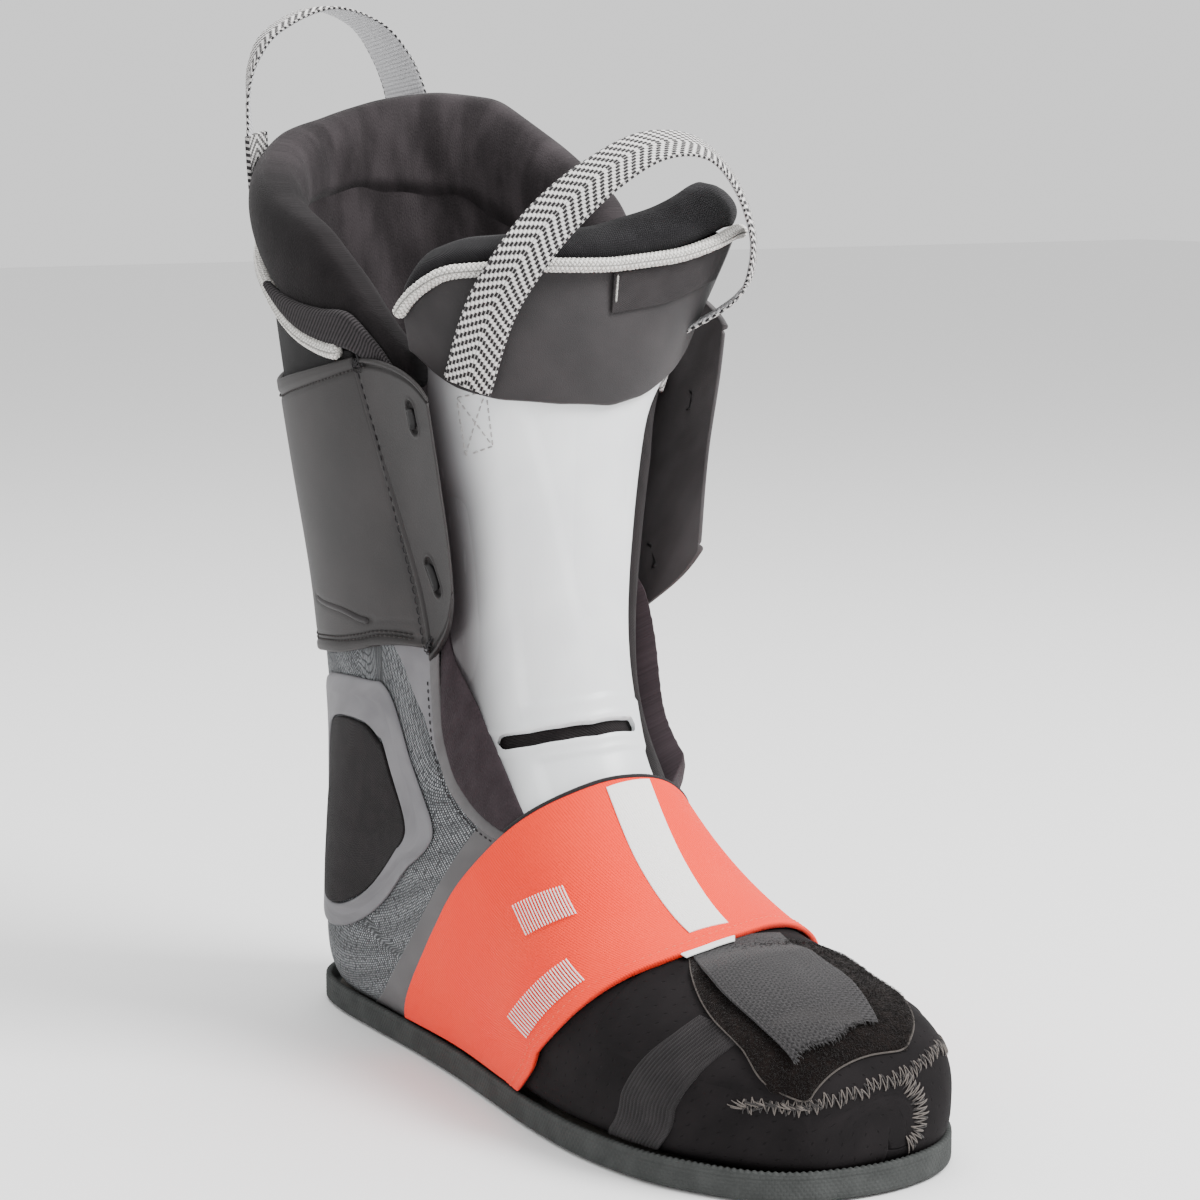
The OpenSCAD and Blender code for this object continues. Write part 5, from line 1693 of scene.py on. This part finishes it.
def gusset(side, tag, bulge, u_top):
    """Plush lip between the throat edge and the tongue."""
    def share(u, v):
        inner, edge = read(LIP_EDGE[tag], u), read(THROAT, u) - 0.6
        return np.clip((np.abs(v) - inner) / (edge - inner), 0, 1)

    def at(s, t):
        u = mix(LIP_START, u_top, t)
        return u, side * mix(read(LIP_EDGE[tag], u), read(THROAT, u) - 0.6, s)

    def high(u, v):
        top = np.clip((u_top - u) / (u_top - LIP_START) * 2.2, 0.02, 1)
        swell = mix(0.9, bulge, ease(8.6, 9.1, u))
        return FOAM_OUT + (swell * MM - FOAM_OUT) * np.sin(np.pi / 2 * top) ** 0.5 - 0.4 * MM

    def relief(u, v, points):
        across = np.sin(np.pi * mix(0.08, 1, share(u, v))) ** 0.6
        wrinkle = 0.12 * MM * np.sin(u * 31 + np.abs(v) * 0.4) + 0.09 * MM * np.sin(u * 57 - np.abs(v) * 0.7)
        return 0.9 * MM * (across - 0.5) + wrinkle * across
    made = patch("gusset_plush_" + tag, at, high, 0, "lip_plush", 0.8, 0.8, roll=1.0, drop=0.5,
                 relief=relief, inner_off=lambda u, v: np.full_like(u, FOAM_IN + 1 * MM))
    finish_piece(made, "liner", "plush", "gusset_" + tag)


# ---- tongue -----------------------------------------------------------------------------------------

SLOT_ENDS = (-47.0, 15.0)  # v
SLOT_ROW = 20  # millimetres from one section to the next at the slot
TONGUE_START, LINING_START = 5.9, 9.6  # u of the lower ends of the plate and of the lining


def tongue_plate():
    """Plastic tongue with a flex slot cut in from its outer edge."""
    def at(s, t):
        u = mix(TONGUE_START, 14.9, t)
        return u, mix(-read(PLATE_OUTER, u), read(PLATE_INNER, u), s)

    def relief(u, v, points):
        above = (u - read(SLOT, v)) * SLOT_ROW
        rim = 0.5 * MM * np.exp(-((np.abs(above) - 3.2) / 0.8) ** 2) * ease(20, 14, v)
        steps = ease(8.2, 9.4, above) * ease(40, 20, above) + ease(6.2, 7.4, -above)
        steps = -0.7 * MM * steps * ease(-38, -32, v)
        crease = v + 27 - (13.85 - u) * 5.8
        panel = -0.6 * MM * ease(-3.5, 2.5, crease) * ease(10.2, 11.0, u)
        hollow = -1.6 * MM * np.exp(-((v - 4) / 16) ** 2) * ease(9.6, 11.5, u)
        turned = -2.6 * MM * ease(-36, -59, v) * ease(13.4, 12.6, u) * ease(9.9, 11.2, u)
        return rim + steps + panel + hollow + turned
    made = patch("tongue_plate_shell", at, flare, PLATE_T + 0.6 * MM, "tongue_plastic", 0.9, 0.9,
                 roll=0.8, drop=0.6, relief=relief)

    def cut_at(s, t):
        v = mix(*SLOT_ENDS, s)
        from_end = np.minimum(v - SLOT_ENDS[0], SLOT_ENDS[1] - v)
        tall_half = 0.11 * np.sqrt(1 - np.clip(1 - from_end / 3, 0, 0.995) ** 2)
        return read(SLOT, v) + mix(-tall_half, tall_half, t), v
    cutter = patch("slot_cutter", cut_at, 5 * MM, 12 * MM, None, 1.0, 0.6)
    cut = made.modifiers.new("slot", "BOOLEAN")
    cut.object, cut.solver, cut.operation = cutter, "EXACT", "DIFFERENCE"
    bpy.context.view_layer.update()
    graph = bpy.context.evaluated_depsgraph_get()
    made.data = bpy.data.meshes.new_from_object(made.evaluated_get(graph))
    made.modifiers.clear()
    bpy.data.objects.remove(cutter)
    made.data.set_sharp_from_angle(angle=math.radians(50))
    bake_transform(made)
    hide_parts("tongue_plate_lower", "tongue_plate_upper")


def tongue_back():
    """Foam and lining behind the plate; the foam runs past the slot."""
    end = lambda v: read(TONGUE_LINE, v) - 0.1

    def at(s, t):
        rough = mix(TONGUE_START, end(mix(-44, 44, s)), t)
        wide = mix(38, 49, ease(6, 9.5, rough))
        v = mix(-wide, wide, s)
        return mix(TONGUE_START, end(v), t), v
    thick = lambda u, v: mix(4, 9, ease(8.8, 10.5, u)) * MM
    foam_top = lambda u, v: flare(u, v) - PLATE_T - GAP - 1.2 * MM

    def swell(u, v, points):
        return 2.6 * MM * ease(1, 7, v - read(PLATE_INNER, u)) * ease(14, 13, u) * ease(8, 9, u)
    foam = patch("tongue_foam_pad", at, foam_top, 0, "stretch_fabric", 2.2, roll=2, drop=1.2,
                 relief=swell, inner_off=lambda u, v: foam_top(u, v) - thick(u, v))
    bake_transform(foam)
    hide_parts("tongue_foam_lower", "tongue_foam")
    behind = lambda u, v: foam_top(u, v) - thick(u, v) - GAP

    def upper(s, t):
        u, v = at(s, t)
        return LINING_START + (u - TONGUE_START) * (end(v) - LINING_START) / (end(v) - TONGUE_START), v
    lining = patch("tongue_lining_plush", upper, behind, 1.2 * MM, "plush", 2.2)
    cloth_piece(lining, "tongue", "plush", "stretched", ["tongue_foam"], "tongue_lining")


SHIELD_LIFT = 0.6 * MM + 0.9 * MM


def shield():
    """Film over the top of the plate, with a plain woven tag at its upper edge."""
    def at(s, t):
        v = mix(-58, 50, s)
        return mix(read(SHIELD_LOW, v), read(TONGUE_LINE, v) - 0.12, t), v

    def soft(u, v, points):
        return 0.7 * MM * np.sin((u - 13.5) * 2.2) * np.cos(np.radians(v * 1.5))
    made = patch("tongue_shield_film", at, lambda u, v: flare(u, v) + SHIELD_LIFT, 0.9 * MM, "shield_matte",
                 1.1, roll=0.8, drop=0.55, relief=soft)
    finish_piece(made, "tongue", "shield_film", "tongue_shield")

    def tag_at(s, t):
        v = mix(1, 40, s)
        top = read(TONGUE_LINE, v) - 0.2
        return mix(top - 0.75, top, t), v
    tag_off = lambda u, v: flare(u, v) + SHIELD_LIFT + 1.1 * MM
    tag = patch("tongue_tag", tag_at, tag_off, 0.5 * MM, "label_weave", 0.8,
                roll=0.4, drop=0.3)
    cloth_piece(tag, "tongue", "label_weave", "laid", ["tongue_shield"], "tongue_label")
    places = [(u, 1.9) for u in np.linspace(15.1, 15.62, 4)]
    cord_on("tongue_tag_edge", places, tag_off, 0.35 * MM, "tongue", "label_weave", "white_braid", 3,
            2 * MM, 0.1, 10)


def tongue_pad():
    """Padded roll along the top of the tongue, puffed up as filled cloth."""
    def at(s, t):
        v = mix(-58, 50, s)
        return mix(read(TONGUE_LINE, v), read(TONGUE_TOP, v), t), v

    def share(u, v):
        return share_between(u, read(TONGUE_LINE, v), read(TONGUE_TOP, v))

    def out(u, v):
        t = share(u, v)
        return flare(u, v) + (1.6 * np.sin(np.pi * t) - 5 * t ** 4) * MM - 0.4 * MM

    def inner(u, v):
        t = share(u, v)
        return flare(u, v) + (-3.4 - 9 - 1.2 * np.sin(np.pi * t) + 2.5 * t ** 4) * MM
    made = patch("tongue_pad_puff", at, out, 0, "pad_mesh", 1.5, 1.2, inner_off=inner)
    soften(made, 2.2 * MM, lambda p: ease(0.262, 0.25, p[:, 2]) * 0.8 + 0.12)
    smooth_ends(made)
    finish_piece(made, "tongue", "pad_fabric", "tongue_pad")


# ---- webbing loops ------------------------------------------------------------------------------------

def ribbon(name, rows, node):
    """Woven tape along rows of place and width direction, with raised yarns and a plain inner face."""
    long, across = 499, 65
    t = np.linspace(0.02, 0.98, long + 1)
    rows_at = along(rows, t)
    centre = place(rows_at[:, 0], rows_at[:, 1], rows_at[:, 2])
    run = lengths(centre, 0)
    way = unit(np.gradient(centre, axis=0))
    wide = rows_at[:, 3:6] * [1, -1, 1]
    wide = unit(wide - (wide * way).sum(1, keepdims=True) * way)
    up = np.cross(wide, way)
    x = np.linspace(-1, 1, across + 1)
    yarn_deep, pick = 0.14 * MM, 2.15 * MM  # relief of the yarns, and spacing of the crossing ones
    half_t = WEBBING_T / 2 * np.sqrt(1 - np.abs(x) ** 8 * 0.93)
    grid = []
    for face in (1, -1):
        yarn = yarn_deep * (np.abs(np.sin(np.pi * (x * WEBBING_W / 2 / MM + 60) / YARN_W))[None]
                            * (0.7 + 0.3 * np.abs(np.sin(np.pi * run / pick))[:, None]) - 1)
        lift = half_t[None] + yarn * (np.abs(x) < 0.985)[None]
        sideways = wide[:, None] * (x * WEBBING_W / 2)[None, :, None]
        grid.append(centre[:, None] + sideways + up[:, None] * (face * lift)[..., None])
    cloth = np.stack(np.broadcast_arrays((x * WEBBING_W / 2)[None], run[:, None]), -1).reshape(-1, 2) / MM
    made = mesh_object(name, np.concatenate([g.reshape(-1, 3) for g in grid]), shell_faces(long, across),
                       {"cloth": np.concatenate([cloth, cloth])}, "webbing")
    made.data.materials.append(LOOKS["tape_back"])
    inner = np.zeros(len(made.data.polygons), np.int32)
    inner[long * across:2 * long * across] = 1
    made.data.polygons.foreach_set("material_index", inner)
    face_outward(made)
    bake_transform(made)
    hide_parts(node)


def loops():
    """Both pull loops, their sewn-down tails and the box stitching over them."""
    ribbon("front_loop_tape", FRONT_LOOP, "front_loop")
    ribbon("rear_loop_tape", REAR_LOOP, "rear_loop")
    box_stitch("front_loop_stitches", 13.25, 13.95, -46.5, -37.5, lambda u, v: flare(u, v) + 0.05 * MM,
               "tongue", "box_thread")
    for k, v0 in enumerate((-42, 44)):
        low = 13.2 if v0 < 0 else 13.9

        def at(s, t, v0=v0, low=low):
            return mix(low, low + 0.6, t), v0 + mix(-4, 4, s)
        tail = patch("front_tail_tape_%d" % k, at, lambda u, v: flare(u, v) - PLATE_T - 0.2 * MM, 1.2 * MM,
                     "webbing", 0.8)
        finish_piece(tail, "tongue", "webbing", *(["front_loop_tails"] if k == 0 else []))
    tail_off = 5.7 * MM + WEBBING_T
    for k, v0 in enumerate((-147, 158)):
        def at(s, t, v0=v0):
            return mix(15.9, 16.5, t), v0 + mix(-6.5, 6.5, s)
        tail = patch("rear_tail_tape_%d" % k, at, tail_off, WEBBING_T, "webbing", 0.6, roll=0.5, drop=0.4)
        finish_piece(tail, "liner", "webbing", *(["rear_loop_tails"] if k == 0 else []))
        box_stitch("rear_tail_stitches_%d" % k, 15.95, 16.42, v0 - 4.5, v0 + 4.5, tail_off, "liner",
                   "black_thread")


def box_stitch(name, u0, u1, v0, v1, off, body, look):
    """Stitching in a box with a cross in it, over the sewn-down end of a tape."""
    corners = [(u0, v0), (u1, v0), (u1, v1), (u0, v1), (u0, v0), (u1, v1)]
    sides = list(zip(corners[:-1], corners[1:])) + [((u1, v0), (u0, v1))]
    found = [running(trace(pair, off, 60), 2.6 * MM, 2.0 * MM) for pair in sides]
    a, b, n = (np.vstack(part) for part in zip(*found))
    finish_piece(threads(name, a, b, n, (0.24, 0.2, 0.3), look, 6, 5), body, "white_braid")


# ---- camera, floor and light --------------------------------------------------------------------------

def studio():
    """Camera a metre away, a pale floor, a white world and three area lights."""
    azimuth, height = math.radians(-34), math.radians(8.5)
    back = Vector((math.sin(azimuth) * math.cos(height), -math.cos(azimuth) * math.cos(height),
                   math.sin(height)))
    target = Vector((0.0057, 0.006, 0.1546))  # what the camera looks at, near the middle of the liner
    lens = bpy.data.cameras.new("camera")
    lens.lens, lens.sensor_width = 93, 36
    eye = bpy.data.objects.new("camera", lens)
    eye.location = target + back
    eye.rotation_euler = back.to_track_quat("Z", "Y").to_euler()
    bpy.context.scene.collection.objects.link(eye)
    bpy.context.scene.camera = eye

    bpy.ops.mesh.primitive_plane_add(size=12, location=(0, 0, -0.0005))
    floor = bpy.context.object
    floor.name = "floor"
    pale = bpy.data.materials.new("floor")
    pale.use_nodes = True
    shader = pale.node_tree.nodes["Principled BSDF"]
    shader.inputs["Base Color"].default_value = (0.86, 0.86, 0.86, 1)
    shader.inputs["Roughness"].default_value = 0.9
    floor.data.materials.append(pale)

    world = bpy.data.worlds.new("studio")
    bpy.context.scene.world = world
    world.use_nodes = True
    sky = world.node_tree.nodes["Background"]
    sky.inputs["Color"].default_value = (1, 1, 1, 1)
    sky.inputs["Strength"].default_value = 1.1
    lamp("key", (0.65, -0.95, 1.3), 0.7, 46)
    lamp("fill", (-1.3, -0.8, 0.7), 1.2, 4)
    lamp("top", (0.1, 0.3, 1.6), 1.0, 20)


def lamp(name, where, size, power):
    """An area light aimed at the middle of the leg."""
    light = bpy.data.lights.new(name, "AREA")
    light.size, light.energy = size, power
    made = bpy.data.objects.new(name, light)
    made.location = where
    made.rotation_euler = (Vector(where) - Vector((0, 0, 0.15))).to_track_quat("Z", "Y").to_euler()
    bpy.context.scene.collection.objects.link(made)


all_looks()
outsole()
insole()
vamp_top()
for one_side in SIDES:
    toe_side(*one_side)
toe_seams()
toe_linings()
loop_patch()
toe_tab()
instep_wrap()
wrap_prints()
for one_side in SIDES:
    quarter(*one_side)
back_strip()
leg_lining()
for one_side in SIDES:
    cuff_panel(*one_side)
cuff_flap(-1, "lateral", 10, 16, 11.32, 14.62, "panel_satin")
cuff_flap(1, "medial", 21, 16, 11.5, 15.4, "inner_panel")
collar_mesh()
collar_roll()
pipings()
gusset(-1, "lateral", 1.5, 11.6)
gusset(1, "medial", 10.5, 11.8)
tongue_plate()
tongue_back()
shield()
tongue_pad()
loops()
studio()
